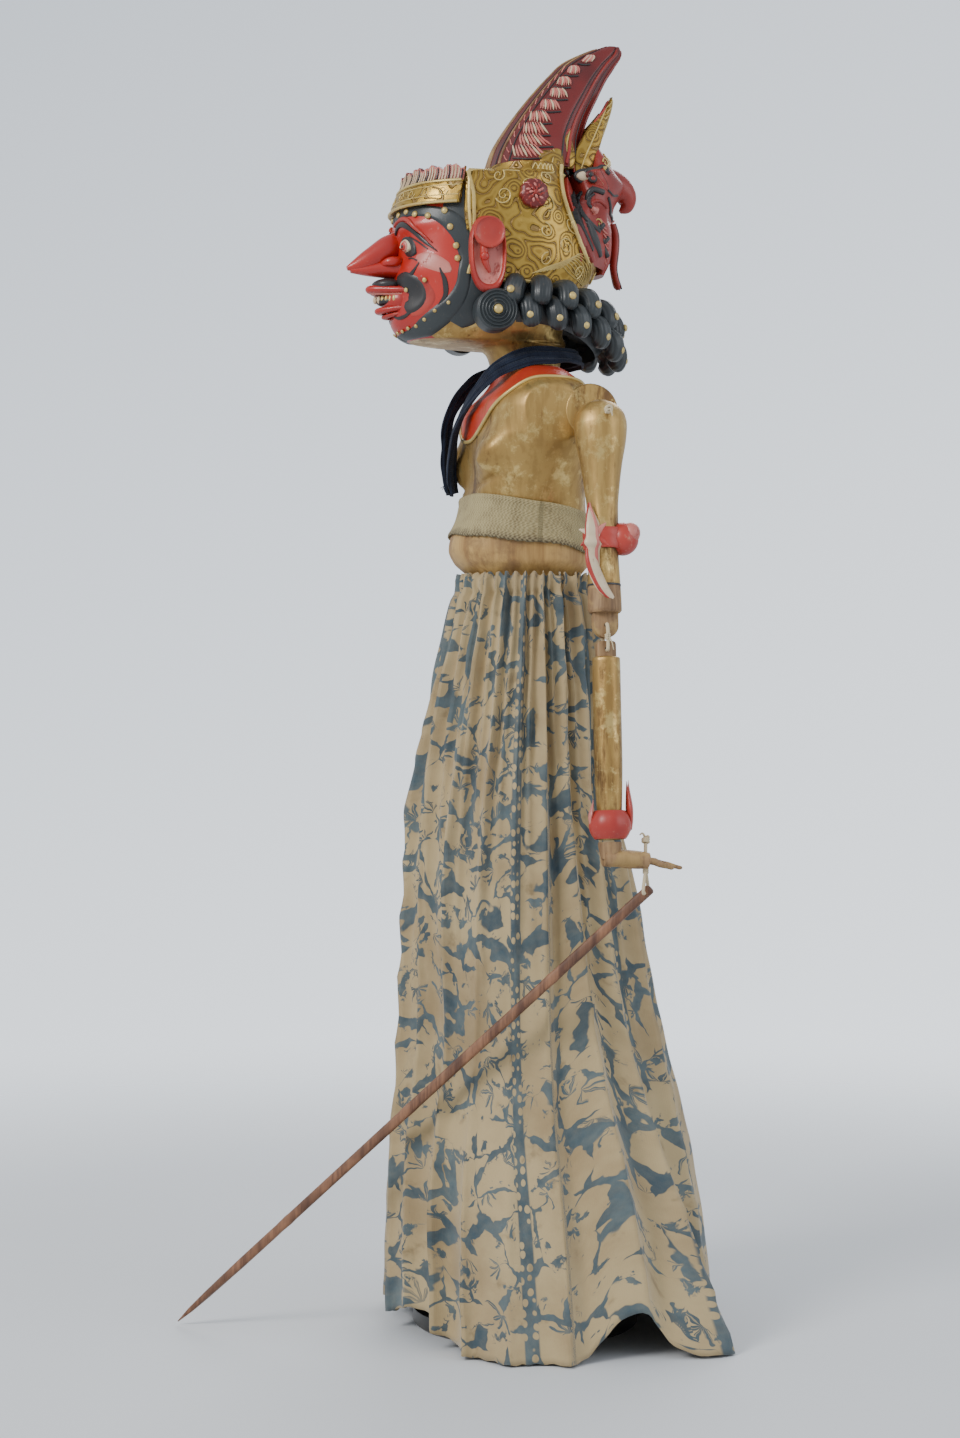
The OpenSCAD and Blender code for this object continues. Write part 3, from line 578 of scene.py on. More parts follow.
def section(values, angle, grow, power):
    """Points on sections [front, back, half width, centre y] at an angle from +X."""
    front, rear, half, middle = (values[..., k] for k in range(4))
    c, s = np.cos(np.radians(angle)), np.sin(np.radians(angle))
    reach = np.where(s < 0, middle - front, rear - middle)
    x = (half + grow) * np.sign(c) * np.abs(c) ** (2 / power)
    y = middle + (reach + grow) * np.sign(s) * np.abs(s) ** (2 / power)
    return x, y


def turned(axis):
    """Rotation whose third column is the axis."""
    z = np.asarray(axis, float) / np.linalg.norm(axis)
    x = np.cross([0, 1, 0] if abs(z[1]) < 0.9 else [1, 0, 0], z)
    x /= np.linalg.norm(x)
    return np.stack([x, np.cross(z, x), z], 1)


def lathe(profile, place=(0, 0, 0), axis=(0, 0, 1), cols=40, ripple=None):
    """Profile of (radius, height) turned about an axis; ripple(angle, row share) scales the radius."""
    profile = np.asarray(profile, float)
    a = np.linspace(0, 2 * np.pi, cols, endpoint=False)
    r = profile[:, :1] * np.ones_like(a)
    if ripple is not None:
        r = r * ripple(a[None, :], np.linspace(0, 1, len(profile))[:, None])
    points = np.stack([r * np.cos(a), r * np.sin(a), profile[:, 1:2] * np.ones_like(a)], -1)
    return points @ turned(axis).T + np.asarray(place, float)


def ball(place, radii, rows=14, cols=24, axis=(0, 0, 1)):
    t = np.linspace(-np.pi / 2 + 0.05, np.pi / 2 - 0.05, rows)
    a = np.linspace(0, 2 * np.pi, cols, endpoint=False)
    unit = np.stack([np.cos(t)[:, None] * np.cos(a), np.cos(t)[:, None] * np.sin(a), np.sin(t)[:, None] + 0 * a], -1)
    return (unit * np.asarray(radii, float)) @ turned(axis).T + np.asarray(place, float)


def tube(path, radius, sides=12, flat=1.0, hint=(0, 0, 1)):
    """A swept tube; flat scales it across the hint direction."""
    path = np.asarray(path, float)
    along = np.gradient(path, axis=0)
    along /= np.linalg.norm(along, axis=1, keepdims=True) + 1e-12
    hint = np.asarray(hint, float) * np.ones_like(path)
    side = np.cross(along, hint)
    side /= np.linalg.norm(side, axis=1, keepdims=True) + 1e-9
    up = np.cross(side, along)
    a = np.linspace(0, 2 * np.pi, sides, endpoint=False)[None, :, None]
    r = (np.asarray(radius, float) * np.ones(len(path)))[:, None, None]
    return path[:, None, :] + r * (np.cos(a) * side[:, None, :] + flat * np.sin(a) * up[:, None, :])


class Piece:
    """Parts of one object, each with its own finish."""

    def __init__(self, name):
        self.name, self.points, self.faces, self.which, self.finishes, self.uv = name, [], [], [], [], []
        self.count = 0

    def faces_of(self, quads, finish, size):
        if finish not in self.finishes:
            self.finishes.append(finish)
        self.faces += quads
        self.which += [self.finishes.index(finish)] * len(quads)
        self.count += size

    def grid(self, points, finish, wrap=True, caps=(True, True), flip=False, uv=None):
        """Quads over a (rows, columns, 3) grid; caps close the ends of a wrapped one."""
        rows, cols = points.shape[:2]
        base = self.count
        i, j = np.meshgrid(np.arange(rows - 1), np.arange(cols if wrap else cols - 1), indexing="ij")
        k = (j + 1) % cols
        quads = np.stack([i * cols + j, i * cols + k, (i + 1) * cols + k, (i + 1) * cols + j], -1).reshape(-1, 4) + base
        if flip:
            quads = quads[:, ::-1]
        faces = quads.tolist()
        if wrap:
            ends = list(range(base, base + cols)), list(range(base + (rows - 1) * cols, base + rows * cols))
            if caps[0]:
                faces.append(ends[0] if flip else ends[0][::-1])
            if caps[1]:
                faces.append(ends[1][::-1] if flip else ends[1])
        self.points.append(points.reshape(-1, 3))
        self.uv.append((np.zeros((rows, cols, 2)) if uv is None else uv).reshape(-1, 2))
        self.faces_of(faces, finish, rows * cols)
        return self

    def mirrored(self, side):
        """The same piece across the middle plane, for side -1."""
        if side < 0:
            self.points = [p * np.array([-1, 1, 1]) for p in self.points]
            self.faces = [f[::-1] for f in self.faces]
        return self

    def moved(self, matrix, shift):
        self.points = [p @ np.asarray(matrix, float).T + np.asarray(shift, float) for p in self.points]
        return self

    def make(self, nodes, body, slot, sharp=40):
        mesh = bpy.data.meshes.new(self.name)
        mesh.from_pydata((np.vstack(self.points) * MM).tolist(), [], self.faces)
        for finish in self.finishes:
            mesh.materials.append(finish)
        mesh.polygons.foreach_set("material_index", self.which)
        mesh.polygons.foreach_set("use_smooth", [True] * len(mesh.polygons))
        corners = np.empty(len(mesh.loops), int)
        mesh.loops.foreach_get("vertex_index", corners)
        layer = mesh.uv_layers.new(name="cloth")
        layer.data.foreach_set("uv", np.vstack(self.uv)[corners].ravel())
        mesh.set_sharp_from_angle(angle=math.radians(sharp))
        mesh.update()
        made = bpy.data.objects.new(self.name, mesh)
        bpy.context.scene.collection.objects.link(made)
        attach(made, body)
        if nodes:
            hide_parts(*nodes)
        return made


# %% [markdown]
# ## Torso
# The belly is bare wood with a raised edge where the gold stops. Above it the chest has two
# shallow breasts, and a red yoke hangs from the neck with a gold edge. The yoke is a thin sheet of
# the same surface, lifted a little, so it follows the carving exactly.

# %% Torso
WAIST = 352.0
SHOULDER = np.array([55.5, 19.5, 450.0])
TORSO = np.array(
    [
        [0, -24, 24, 25], [9, -25.5, 25, 26.5], [18.5, -27.5, 26.5, 28.5], [26, -34.5, 31, 33.5], [32, -36.5, 31, 34],
        [39, -36, 30.5, 34.5], [48, -32.5, 29, 35.5], [59, -29.6, 28, 39], [70, -27.5, 28, 46], [80, -27.5, 29, 53.5],
        [86, -27.7, 29.3, 57], [98, -27.5, 29, 58.5], [104, -24.5, 27.5, 57.5], [108.5, -21, 26, 54],
        [114, -16, 22.5, 46], [119, -13, 18, 35], [121.5, -11.5, 15.5, 27],
    ], float,
)
TORSO = np.hstack([TORSO, np.zeros((len(TORSO), 1))])
SHOULDER_FLAT = 54.5


def torso_at(h, angle, grow=0.0):
    """A point on the torso; the chest swells and the collar bones stand out a little."""
    side_bust = bell(around(angle, -58), 0, 17) + bell(around(angle, -122), 0, 17)
    nipple = bell(around(angle, -60), 0, 3) + bell(around(angle, -120), 0, 3)
    swell = 8 * bell(h, 76, 10) * side_bust + 1.5 * bell(h, 73, 2) * nipple - 1.7 * bell(h,
        60.5 + 0.12 * np.abs(around(angle, -90)), 1.7) * side_bust
    bone = 0.9 * bell(h, 103 + 3 * bell(around(angle, -90), 0, 20), 2.5) * bell(around(angle, -90), 0, 60)
    belly = 1.2 * bell(h, 33, 7) * bell(around(angle, -90), 0, 40)
    x, y = section(smooth(TORSO, h), angle, grow + swell + bone + belly, 2.5)
    return np.stack([np.clip(x, -SHOULDER_FLAT, SHOULDER_FLAT), y, h + WAIST + 0 * x], -1)


def patch(surface, low, high, first, last, grow, rows=24, cols=60):
    """A grid over part of a surface; low and high may depend on the angle."""
    angle = np.linspace(first, last, cols)[None, :]
    share = np.linspace(0, 1, rows)[:, None]
    bottom = low(angle) if callable(low) else low
    top = high(angle) if callable(high) else high
    return surface(bottom + (top - bottom) * share, angle + 0 * share, grow)


torso = Piece("torso_carved")
heights = np.linspace(0, 121.5, 150)
angles = np.arange(0, 360, 1.8)
grid_h, grid_a = np.meshgrid(heights, angles, indexing="ij")
whole = torso_at(grid_h, grid_a)
split = int(np.searchsorted(heights, 46))
torso.grid(whole[: split + 1], belly_wood, caps=(True, False))
torso.grid(whole[split:], gold_skin, caps=(False, True))
for side in (-1, 1):
    lobe = lathe([(11.5, 0), (13.2, 0.6), (13.5, 3), (13.5, 22.6), (13.1, 24.3), (12.2, 24.8)], axis=(side, 0, 0))
    torso.grid(lobe + np.array([side * 30, SHOULDER[1], 448]), gold_skin)


def yoke_edge(angle):
    """The yoke's lower edge: a rounded bib in front, a straighter one behind, and high at the arms."""
    front = np.abs(around(angle, -90))
    return 113 - 27 * bell(front, 0, 38) - 4 * bell(front, 180, 40)


yoke = patch(torso_at, yoke_edge, 121.2, 0, 360, 0.45, 26, 200)
torso.grid(yoke[:, :-1], yoke_red, caps=(False, False))
rim = torso_at(yoke_edge(angles), angles, 0.7)
ringed = np.vstack([rim, rim[:1]])
torso.grid(tube(ringed, 0.95, 8, hint=(0, -0.3, 1)), gold_dot, caps=(False, False))
torso.make(["torso"], "torso", "gold_skin", 50)

# %% [markdown]
# ## The woven band and the scarf
# Both are real cloth: a tape pulled tight round the chest, and a folded strip tucked into it.
# Each gets a UV in metres of its own length and width, so the weave keeps one scale.

# %% Chest band
BAND_TOP, BAND_FALL, BAND_HIGH = 59, 11, 20


def band_edge(angle, share):
    sag = 0.5 * np.sin(np.radians(angle * 3 + 40)) + 0.35 * np.sin(np.radians(angle * 7))
    return BAND_TOP - BAND_HIGH * (1 - share) - BAND_FALL * (1 + np.sin(np.radians(angle))) / 2 + sag * (1 - share)


band = Piece("chest_band_woven")
share, angle = np.meshgrid(np.linspace(0, 1, 18), np.arange(0, 360, 2.0), indexing="ij")
frayed = 0.5 * np.sin(angle * 1.9) * np.sin(angle * 0.37) * (1 - share) ** 6
bulge = 0.45 * bell(share, 0.93, 0.06) + 0.45 * bell(share, 0.07, 0.06) + 0.3 * np.sin(np.radians(angle * 5)) * share
girth = 2 * np.pi * 33
uv = np.stack([angle / 360 * girth * MM, share * BAND_HIGH * MM], -1)
band.grid(torso_at(band_edge(angle, share) + frayed, angle, 1.3 + bulge), tape, caps=(False, False), uv=uv)
tape_ring = band.make(["chest_band"], "torso", "woven_band", 60)
thickness = tape_ring.modifiers.new("thickness", "SOLIDIFY")
thickness.thickness, thickness.offset = 0.0009, -1

# %% Scarf
SCARF = np.array(
    [
        [-30, -32, 62], [-33.5, -32.8, 74], [-32, -33, 86], [-27, -33.5, 98], [-22, -29.5, 109], [-25, -20, 118.6],
        [-29, -6.5, 124.6], [-26.5, 8, 126.6], [-18.5, 19.8, 127.4], [-6.3, 26.5, 127.4], [6.3, 26.5, 127.4],
        [18.5, 19.8, 127.4], [26.5, 8, 126.6], [29.2, -6.5, 124.9], [23.5, -20, 119], [11, -27.5, 110],
        [0, -31.5, 101], [-10, -33.5, 91], [-17, -33.5, 80], [-22, -32.5, 70], [-23, -31, 62],
    ], float,
)
route = spline(SCARF, 220)
along = np.gradient(route, axis=0)
along /= np.linalg.norm(along, axis=1, keepdims=True)
outward = np.stack([route[:, 0], route[:, 1] + 6, 14 + 0 * route[:, 0]], 1)
wide = np.cross(along, outward / np.linalg.norm(outward, axis=1, keepdims=True))
wide /= np.linalg.norm(wide, axis=1, keepdims=True)
thick = np.cross(wide, along)
u = np.linspace(0, 20, 220)
half_width = 5.6 - 1.9 * bell(u, 0, 3) - 1.9 * bell(u, 20, 3) - 1.5 * bell(u, 9, 4)
half_width += 0.35 * np.sin(u * 2.1) + 0.2 * np.sin(u * 5.3)
turn_of = np.linspace(0, 2 * np.pi, 36, endpoint=False)
across = np.cos(turn_of)[None, :] * half_width[:, None]
creases = 0.45 * np.sin(across * 1.7 + 1.3 * np.sin(u * 0.7)[:, None]) + 0.25 * np.sin(across * 3.1 + u[:, None])
lifted = np.sin(turn_of)[None, :] * 1.15 + creases * (0.4 + 0.6 * np.abs(np.sin(turn_of)))[None, :]
cloth = route[:, None] + wide[:, None] * across[..., None] + thick[:, None] * lifted[..., None]
cloth[:, :, 2] += WAIST
length = np.concatenate([[0], np.cumsum(np.linalg.norm(np.diff(route, axis=0), axis=1))])
uv = np.stack([length[:, None] * MM + 0 * across, across * MM], -1)
scarf = Piece("neck_scarf_folded")
scarf.grid(cloth, navy, uv=uv)
for k, (dx, dy, dz) in enumerate([(-4, -3, 3), (-5, -2, -1), (-3.5, -4, 1), (-2, -3, -3)]):
    start = SCARF[0] + np.array([0, 0, WAIST + 2 + k * 0.7])
    loose = spline([start, start + [dx * 0.5, dy * 0.6, dz], start + [dx, dy, dz * 0.3 + 1.5 * (k % 2)]], 12)
    scarf.grid(tube(loose, 0.16, 5, hint=(0.3, 0.2, 1)), navy)
scarf_strip = scarf.make(["neck_scarf"], "torso", "navy_cloth", 60)

# %% [markdown]
# ## The skirt
# The cloth is one long strip gathered on a cord at the waist. Near the cord it makes many small,
# deep folds; lower down they merge into broad ones that lean a little. Both are sums of waves in
# the cloth's own angle, with strengths that change down the drop. The hem rises in places, and
# one corner is pulled out behind.

# %% Skirt
SKIRT_TOP = WAIST + 19
SKIRT = np.array(
    [
        [0, -33.6, 33.6, 35], [0.06, -39, 36.5, 38], [0.17, -48, 41, 42], [0.30, -56, 45, 45], [0.43, -59.5, 56, 47],
        [0.57, -62, 66, 50], [0.70, -64, 77, 58], [0.84, -67, 86, 79], [1, -68, 92, 97],
    ], float,
)
SKIRT = np.hstack([SKIRT, np.zeros((len(SKIRT), 1))])
CLOTH_WIDTH, CLOTH_LENGTH = 0.50, 0.375


def hem_height(t):
    return (
        0.6 + 15 * bell(around(t, -72), 0, 16) + 9 * bell(around(t, -110), 0, 18) + 22 * bell(around(t, 19), 0, 9)
        + 7 * bell(around(t, 120), 0, 20) + 8 * bell(around(t, 200), 0, 16)
    )


def crease(wave, sharp):
    """A wave with broad crests and narrow valleys, as a gathered cloth has."""
    return 1 - 2 * np.abs(np.sin(wave / 2)) ** sharp


drop, angle = np.meshgrid(np.linspace(0, 1, 122), np.arange(0, 360, 360 / 330), indexing="ij")
lean = angle + 5 * np.sin(np.radians(angle * 2 + 130 * drop)) + 3 * np.sin(np.radians(angle * 3 - 210 * drop + 60))
small = crease(np.radians(46 * (angle + 1.2 * np.sin(drop * 9 + np.radians(angle * 5)))), 0.62) * 2.5
small = small * (0.35 + 0.65 * (1 - ease(drop, 0.10, 0.42)))
small = small * (1 - ease(drop, 0.42, 0.80))
broad = crease(np.radians(19 * lean), 0.7) * (2.0 + 2.0 * ease(drop, 0.03, 0.3) + 0.7 * ease(drop, 0.3, 0.9))
uneven = 0.65 + 0.5 * np.sin(np.radians(angle * 2.0 + 40)) ** 2 + 0.25 * np.sin(np.radians(angle * 7 + 90 * drop))
wander = 1.6 * ease(drop, 0.25, 0.8) * np.sin(np.radians(angle * 7 + 60 * np.sin(drop * 5)))
rumple = 0.35 * np.sin(drop * 61 + np.radians(angle * 11)) * np.sin(np.radians(angle * 23) - drop * 17)
rumple += 0.9 * bell(drop, 0.75, 0.2) * bell(around(angle, 150), 0, 40) * np.sin(drop * 40 + np.radians(angle * 9))
rod_side = 1 - 0.75 * bell(around(angle, -42), 0, 30) * bell(drop, 0.63, 0.2)
fold = (small + broad * uneven + wander) * rod_side + rumple
fold = np.where(drop < 0.02, fold * 0.6 + 0.6, fold) - 1.3 * bell(drop, 0.022, 0.008)
tail = (26 * bell(around(angle, 39), 0, 11) + 10 * bell(around(angle, 141), 0, 14)) * drop**5
dent = -9 * bell(around(angle, -42), 0, 34) * bell(drop, 0.63, 0.13)
x, y = section(smooth(SKIRT, drop), angle + 0.9 * np.sin(np.radians(18 * lean + 90)), fold + tail + dent - 0.5, 2)
hem = hem_height(angle) + 0.7 * np.sin(np.radians(angle * 31)) ** 2
z = SKIRT_TOP - drop * (SKIRT_TOP - hem) + (1 - drop) ** 30 * 1.2 * np.sin(np.radians(angle * 46 + 30))
uv = np.stack([angle / 360 * CLOTH_WIDTH, (1 - drop) * CLOTH_LENGTH], -1)
skirt = Piece("skirt_gathered")
skirt.grid(np.stack([x, y, z], -1), batik, caps=(False, False), flip=True, uv=uv)
skirt_cloth = skirt.make(["skirt"], "torso", "batik_cloth", 180)
thickness = skirt_cloth.modifiers.new("thickness", "SOLIDIFY")
thickness.thickness, thickness.offset = 0.0006, -1

# %% [markdown]
# ## Arms, hands and their strings
# An arm is drawn once at its pivot, with x pointing away from the body, and mirrored for the other
# side. The upper arm swells into a ball at the top, the forearm is a plain rounded stick, and both
# end in bare wooden tabs where gold was never laid.

# %% Arm pieces
SPLAY = math.radians(5)
UPPER, FORE, BALL = 107.5, 101.0, 12.5
ARM_X = BALL + 0.5
BALL_H = -BALL + 0.5
LEAN = np.array([[math.cos(SPLAY), 0, -math.sin(SPLAY)], [0, 1, 0], [math.sin(SPLAY), 0, math.cos(SPLAY)]])
WRIST = -FORE
HAND = 37.0
HANG = 17.0


def on_arm(piece, side):
    return piece.moved(LEAN, SHOULDER).mirrored(side)


def on_forearm(piece, side):
    return piece.moved(np.eye(3), (ARM_X, 0, -UPPER)).moved(LEAN, SHOULDER).mirrored(side)


def tab(piece, finish, radius, thick, height, width, at=(0, 0, 0)):
    """A flat tab with a rounded lower end and softened faces."""
    t = np.linspace(np.pi, 2 * np.pi, 22)
    outline = np.stack([width / 2 * np.cos(t), radius * np.sin(t)], 1)
    outline = np.vstack([outline, [[width / 2, height], [-width / 2, height]]])
    layers = []
    for x, shrink in ((-thick / 2, 0.9), (-thick / 2 + 0.4, 1), (thick / 2 - 0.4, 1), (thick / 2, 0.9)):
        layers.append(np.stack([np.full(len(outline), x), outline[:, 0] * shrink, outline[:, 1] * shrink], 1))
    piece.grid(np.array(layers) + np.asarray(at, float), finish)


def hole_shade_disc(piece, place, side_x, radius=1.15):
    """A near-black disc over a string hole: painted shade standing in for the dark inside of the hole."""
    piece.grid(lathe([(radius, 0), (radius, 0.12), (radius * 0.5, 0.14)], place, (side_x, 0, 0), 16), ink)


for side, word in ((1, "left"), (-1, "right")):
    # upper arm: gold down to a scored line, bare wood below it
    rows = np.array(
        [
            [-UPPER + 6, 7.4], [-UPPER + 7, 8.1], [-UPPER + 18, 7.9], [-UPPER + 34, 7.2], [BALL_H - 40, 7.4],
            [BALL_H - 29, 8.4], [BALL_H - 18, 9.9], [BALL_H - 7, BALL * 0.95], [BALL_H, BALL],
            [BALL_H + BALL * 0.4, BALL * 0.92], [BALL_H + BALL * 0.8, BALL * 0.6], [BALL_H + BALL * 0.97, BALL * 0.24],
        ]
    )
    arm = Piece(word + "_upper_arm_carved")
    line = -UPPER + 19
    bare_h = np.linspace(rows[0, 0], line, 16)
    gold_h = np.concatenate([np.linspace(line, BALL_H, 60), np.linspace(BALL_H + 0.5, rows[-1, 0], 24)])
    for heights, finish, caps in ((bare_h, bare_wood, (True, False)), (gold_h, gold_skin, (False, True))):
        r = smooth(rows, heights)[:, 0] - 0.35 * bell(heights, line, 0.5)
        points = lathe(np.stack([r, heights], 1), cols=48)
        a = np.arctan2(points[..., 1], points[..., 0])
        facets = 1 + 0.012 * np.cos(a * 6 + points[..., 2] * 0.05) + 0.006 * np.cos(a * 11 + points[..., 2] * 0.13)
        points[..., :2] *= facets[..., None]
        arm.grid(points + np.array([ARM_X, 0, 0]), finish, caps=caps)
    arm.grid(lathe([(7.95, line - 0.45), (7.95, line + 0.45)], (ARM_X, 0, 0), cols=48), ink, caps=(False, False))
    tab(arm, bare_wood, 6, 5, 8, 12, (ARM_X, 0, -UPPER))
    # painted shade disc over the string hole in the upper arm's tab
    hole_shade_disc(arm, (ARM_X + 2.45, 0, -UPPER), 1)
    on_arm(arm, side).make([word + "_upper_arm"], word + "_upper_arm", "gold_skin", 50)

    # shoulder knot: a twisted string through the ball, with a knot outside and two loose ends
    knot = Piece(word + "_arm_knot_tied")
    pin = BALL_H + 5
    knot.grid(tube(spline([(0.2, 0, 0), (0.7, 0, -1), (0.85, 0, pin + 1), (1.6, 0, pin), (4, 0, pin)], 30), 0.88, 8),
              thread)
    knot.grid(tube([(2, 0, pin), (26, 0, pin)], 0.85, 8), thread)
    knot.grid(lathe([(0.5, -1.6), (0.9, -1.5), (0.9, 1.5), (0.5, 1.6)], (0, 0, 0), (0, 1, 0), 12), thread)
    for k in range(3):
        t = np.linspace(0, 2 * np.pi, 22)
        loop = np.stack([27.2 + 0.55 * k + 0.5 * np.sin(t + k), 1.35 * np.cos(t + k), pin + 1.35 * np.sin(t + k)], 1)
        knot.grid(tube(loop, 0.72, 8, hint=(1, 0, 0.1)), thread)
    for dy, dz in ((1.6, -3.2), (-1.9, -2.2)):
        end = spline([(28, 0, pin), (28.8, dy * 0.5, pin - 0.6), (28.4, dy, pin + dz)], 10)
        knot.grid(tube(end, np.linspace(0.7, 0.35, 10), 6, hint=(1, 0, 0.2)), thread)
    on_arm(knot, side).make([word + "_arm_knot"], word + "_upper_arm", "string", 60)

    string = Piece(word + "_shoulder_string_twisted")
    string.grid(lathe([(0.88, 30), (0.9, 40), (0.88, 54.4)], (0, 0, 0), (1, 0, 0), 12) + SHOULDER * [0, 1, 1], thread)
    string.mirrored(side).make([word + "_shoulder_string"], word + "_shoulder", "string")

    # armlet: a ring, a ball behind with a rose cap on its upper outer side as a painted highlight, and a leaf with
    # points up and down and a long crescent
    armlet = Piece(word + "_armlet_carved")
    centre = np.array([ARM_X, 0, -UPPER + 41])
    ring = [(8.3, -5), (9.2, -4.8), (9.7, -3), (9.3, -1), (9.7, 1), (9.6, 3.5), (9.0, 4.9), (8.3, 5)]
    armlet.grid(lathe(ring, centre, cols=44), coral, caps=(False, False))
    armlet.grid(ball(centre + [2, 9.0, 0], (7.9, 7.6, 7.9), 22, 32), coral)
    # rose cap on the ball's upper outer side: a painted highlight
    armlet.grid(ball(centre + [4.6, 12.2, 2.4], (5.4, 4.6, 5.2), 10, 16), rose)
    leaf = np.array([[-19.5, 0.3], [-16, 1.6], [-11, 2.3], [-6, 2.7], [-3, 4.3], [0, 3.4], [4, 3.3], [8, 2.5],
                     [12, 1.5], [16.4, 0.2]])
    h = np.linspace(-19.5, 16.4, 70)
    half = smooth(leaf, h)[:, 0]
    ridge = np.stack([7.6 + 0.4 * np.cos(h * 0.2) - 1.6 * ease(np.abs(h), 6, 18),
                      -6.8 - 1.2 * ease(h, 3, 16) + 1.6 * ease(-h, 6, 19), h], 1) + centre
    armlet.grid(tube(ridge, half * 1.25, 18, 0.5, hint=(1, 0.35, 0)), cream)
    armlet.grid(tube(ridge + np.stack([0.3 + 0 * h, -half * 0.95, 0 * h], 1), 0.3 + half * 0.25, 10,
                     hint=(1, 0.2, 0)), coral)
    armlet.grid(tube(ridge + np.stack([0.9 + 0 * h, 0.25 * half, 0 * h], 1), 0.2 + half * 0.34, 10, hint=(1, 0.2, 0)),
                rose)
    for tip, tint in (((6.6, -13.4, 3.6), cream), ((6.4, -12.8, -4.2), coral), ((9.0, -1.0, 6.4), rose),
                      ((9.2, 0.4, -4.6), coral)):
        start = centre + [7.4, -6.4, 0]
        path = spline([start, (start + centre + tip) / 2 + [0.5, 0, 0.4], centre + np.array(tip)], 14)
        armlet.grid(tube(path, np.linspace(3.0, 0.35, 14), 12, 0.55, hint=(1, 0.3, 0)), tint)
    t = np.linspace(0, 1, 40)
    crescent = spline([(7.6, -8.4, -4), (8.4, -8.2, -11), (8.4, -6.2, -18), (8.0, -2.6, -24.5), (7.2, 2.2, -29)],
                      40) + centre
    armlet.grid(tube(crescent, 0.4 + 3.0 * np.sin(np.pi * np.clip(t * 0.92 + 0.04, 0, 1)) ** 0.7, 14, 0.42,
                     hint=(1, 0.2, 0)), cream)
    armlet.grid(tube(crescent + [0.4, -2.0, -0.3], 0.35 + 0.95 * np.sin(np.pi * t) ** 0.7, 10, hint=(1, 0.2, 0)), coral)
    on_arm(armlet, side).make([word + "_armlet"], word + "_upper_arm", "bangle_coral", 45)

    # elbow string: a loop through both tabs
    loop = Piece(word + "_elbow_loop_tied")
    w, low = 2.5 + 0.9 + 0.5, -11.5
    path = spline([(0, 0.2, 0.2), (w * 0.95, 0, 0), (w, 0.2, -5), (w * 0.95, 0, low), (0, -0.1, low),
                   (-w * 0.95, 0, low),
                   (-w, 0, -5), (-w * 0.95, 0, 0), (0, 0.2, 0.2)], 80)
    loop.grid(tube(path, 0.86, 10, hint=(0, 1, 0)), thread, caps=(False, False))
    for k in range(3):
        t = np.linspace(0, 2 * np.pi, 18)
        wrap = np.stack([w + 0.95 * np.cos(t), 1.0 * np.sin(t), -4.6 - 0.9 * k + 0.2 * np.sin(t)], 1)
        loop.grid(tube(wrap, 0.5, 8, hint=(0.05, 0, 1)), thread, caps=(False, False))
    loop.grid(tube(spline([(w + 0.4, 0, -6), (w + 1.5, 1.4, -8), (w + 1.2, 2.4, -12)], 12),
                   np.linspace(0.55, 0.2, 12), 6), thread)
    on_forearm(loop, side).make([word + "_elbow_loop"], word + "_forearm", "string", 60)

    # forearm: tab of bare wood, a shoulder, then the gold stick down to the wrist
    fore = Piece(word + "_forearm_carved")
    W = 13.3 / 2
    rows = np.array([[WRIST, W * 0.75], [WRIST + 16, W * 0.9], [WRIST + 40, W], [low - 14, W], [low - 4, W * 0.98],
                     [low - 3.4, W * 0.8]])
    heights = np.concatenate([np.linspace(WRIST, low - 4.2, 70), [low - 3.8, low - 3.4]])
    points = lathe(np.stack([smooth(rows, heights)[:, 0], heights], 1), cols=44)
    a = np.arctan2(points[..., 1], points[..., 0])
    points[..., :2] *= (1 + 0.014 * np.cos(a * 5 + points[..., 2] * 0.04) + 0.007
                        * np.cos(a * 9 - points[..., 2] * 0.11))[..., None]
    fore.grid(points, gold_skin)
    tab_points = []
    for x, s in ((-2.5, 0.92), (-2.1, 1), (2.1, 1), (2.5, 0.92)):
        outline = [(-4.5, low - 5), (-4.5, -9), (-4.1, -8), (-3.2, -7.5), (3.2, -7.5), (4.1, -8), (4.5, -9),
                   (4.5, low - 5)]
        tab_points.append([(x, y * s, z) for y, z in outline])
    fore.grid(np.array(tab_points, float), bare_wood, flip=True)
    # painted shade disc over the string hole in the forearm's tab
    hole_shade_disc(fore, (2.45, 0, low), 1)
    on_forearm(fore, side).make([word + "_forearm"], word + "_forearm", "gold_skin", 50)

    # bracelet: a rounded ring with a leaf point at the back and a small one in front
    bracelet = Piece(word + "_bracelet_carved")
    b = np.array([0, 0, WRIST + 7])
    t = np.linspace(-0.75, 0.75, 20)
    profile = [(6.95, -6.7)] + [(10 * math.cos(v), 9.8 * math.sin(v)) for v in t] + [(6.95, 6.7)]
    bracelet.grid(lathe(profile, b, cols=44, ripple=lambda a, v: 1 + 0.012 * np.cos(a * 8)), coral, caps=(False, False))
    h = np.linspace(-3, 20.5, 40)
    leaf = smooth(np.array([[-3, 1.2], [2, 3.4], [7, 3.8], [12, 2.7], [17, 1.2], [20.5, 0.15]]), h)[:, 0]
    blade = np.stack([0.6 + 0 * h, 9.4 - 0.9 * ease(h, 4, 20), h], 1) + b
    bracelet.grid(tube(blade, leaf, 14, 0.42, hint=(0.1, 1, 0)), coral)
    bracelet.grid(tube(blade + [0.2, 0.75, 0.6], leaf * 0.5, 12, 0.6, hint=(0.1, 1, 0)), rose)
    h = np.linspace(-2, 12, 24)
    blade = np.stack([0 * h + 0.4, -9.6 + 1.6 * ease(h, 2, 12), h], 1) + b
    bracelet.grid(tube(blade, 0.2 + 2.2 * np.sin(np.pi * ease(h, -3, 12.5)), 12, 0.45, hint=(0.1, 1, 0)), rose)
    on_forearm(bracelet, side).make([word + "_bracelet"], word + "_forearm", "bangle_coral", 45)

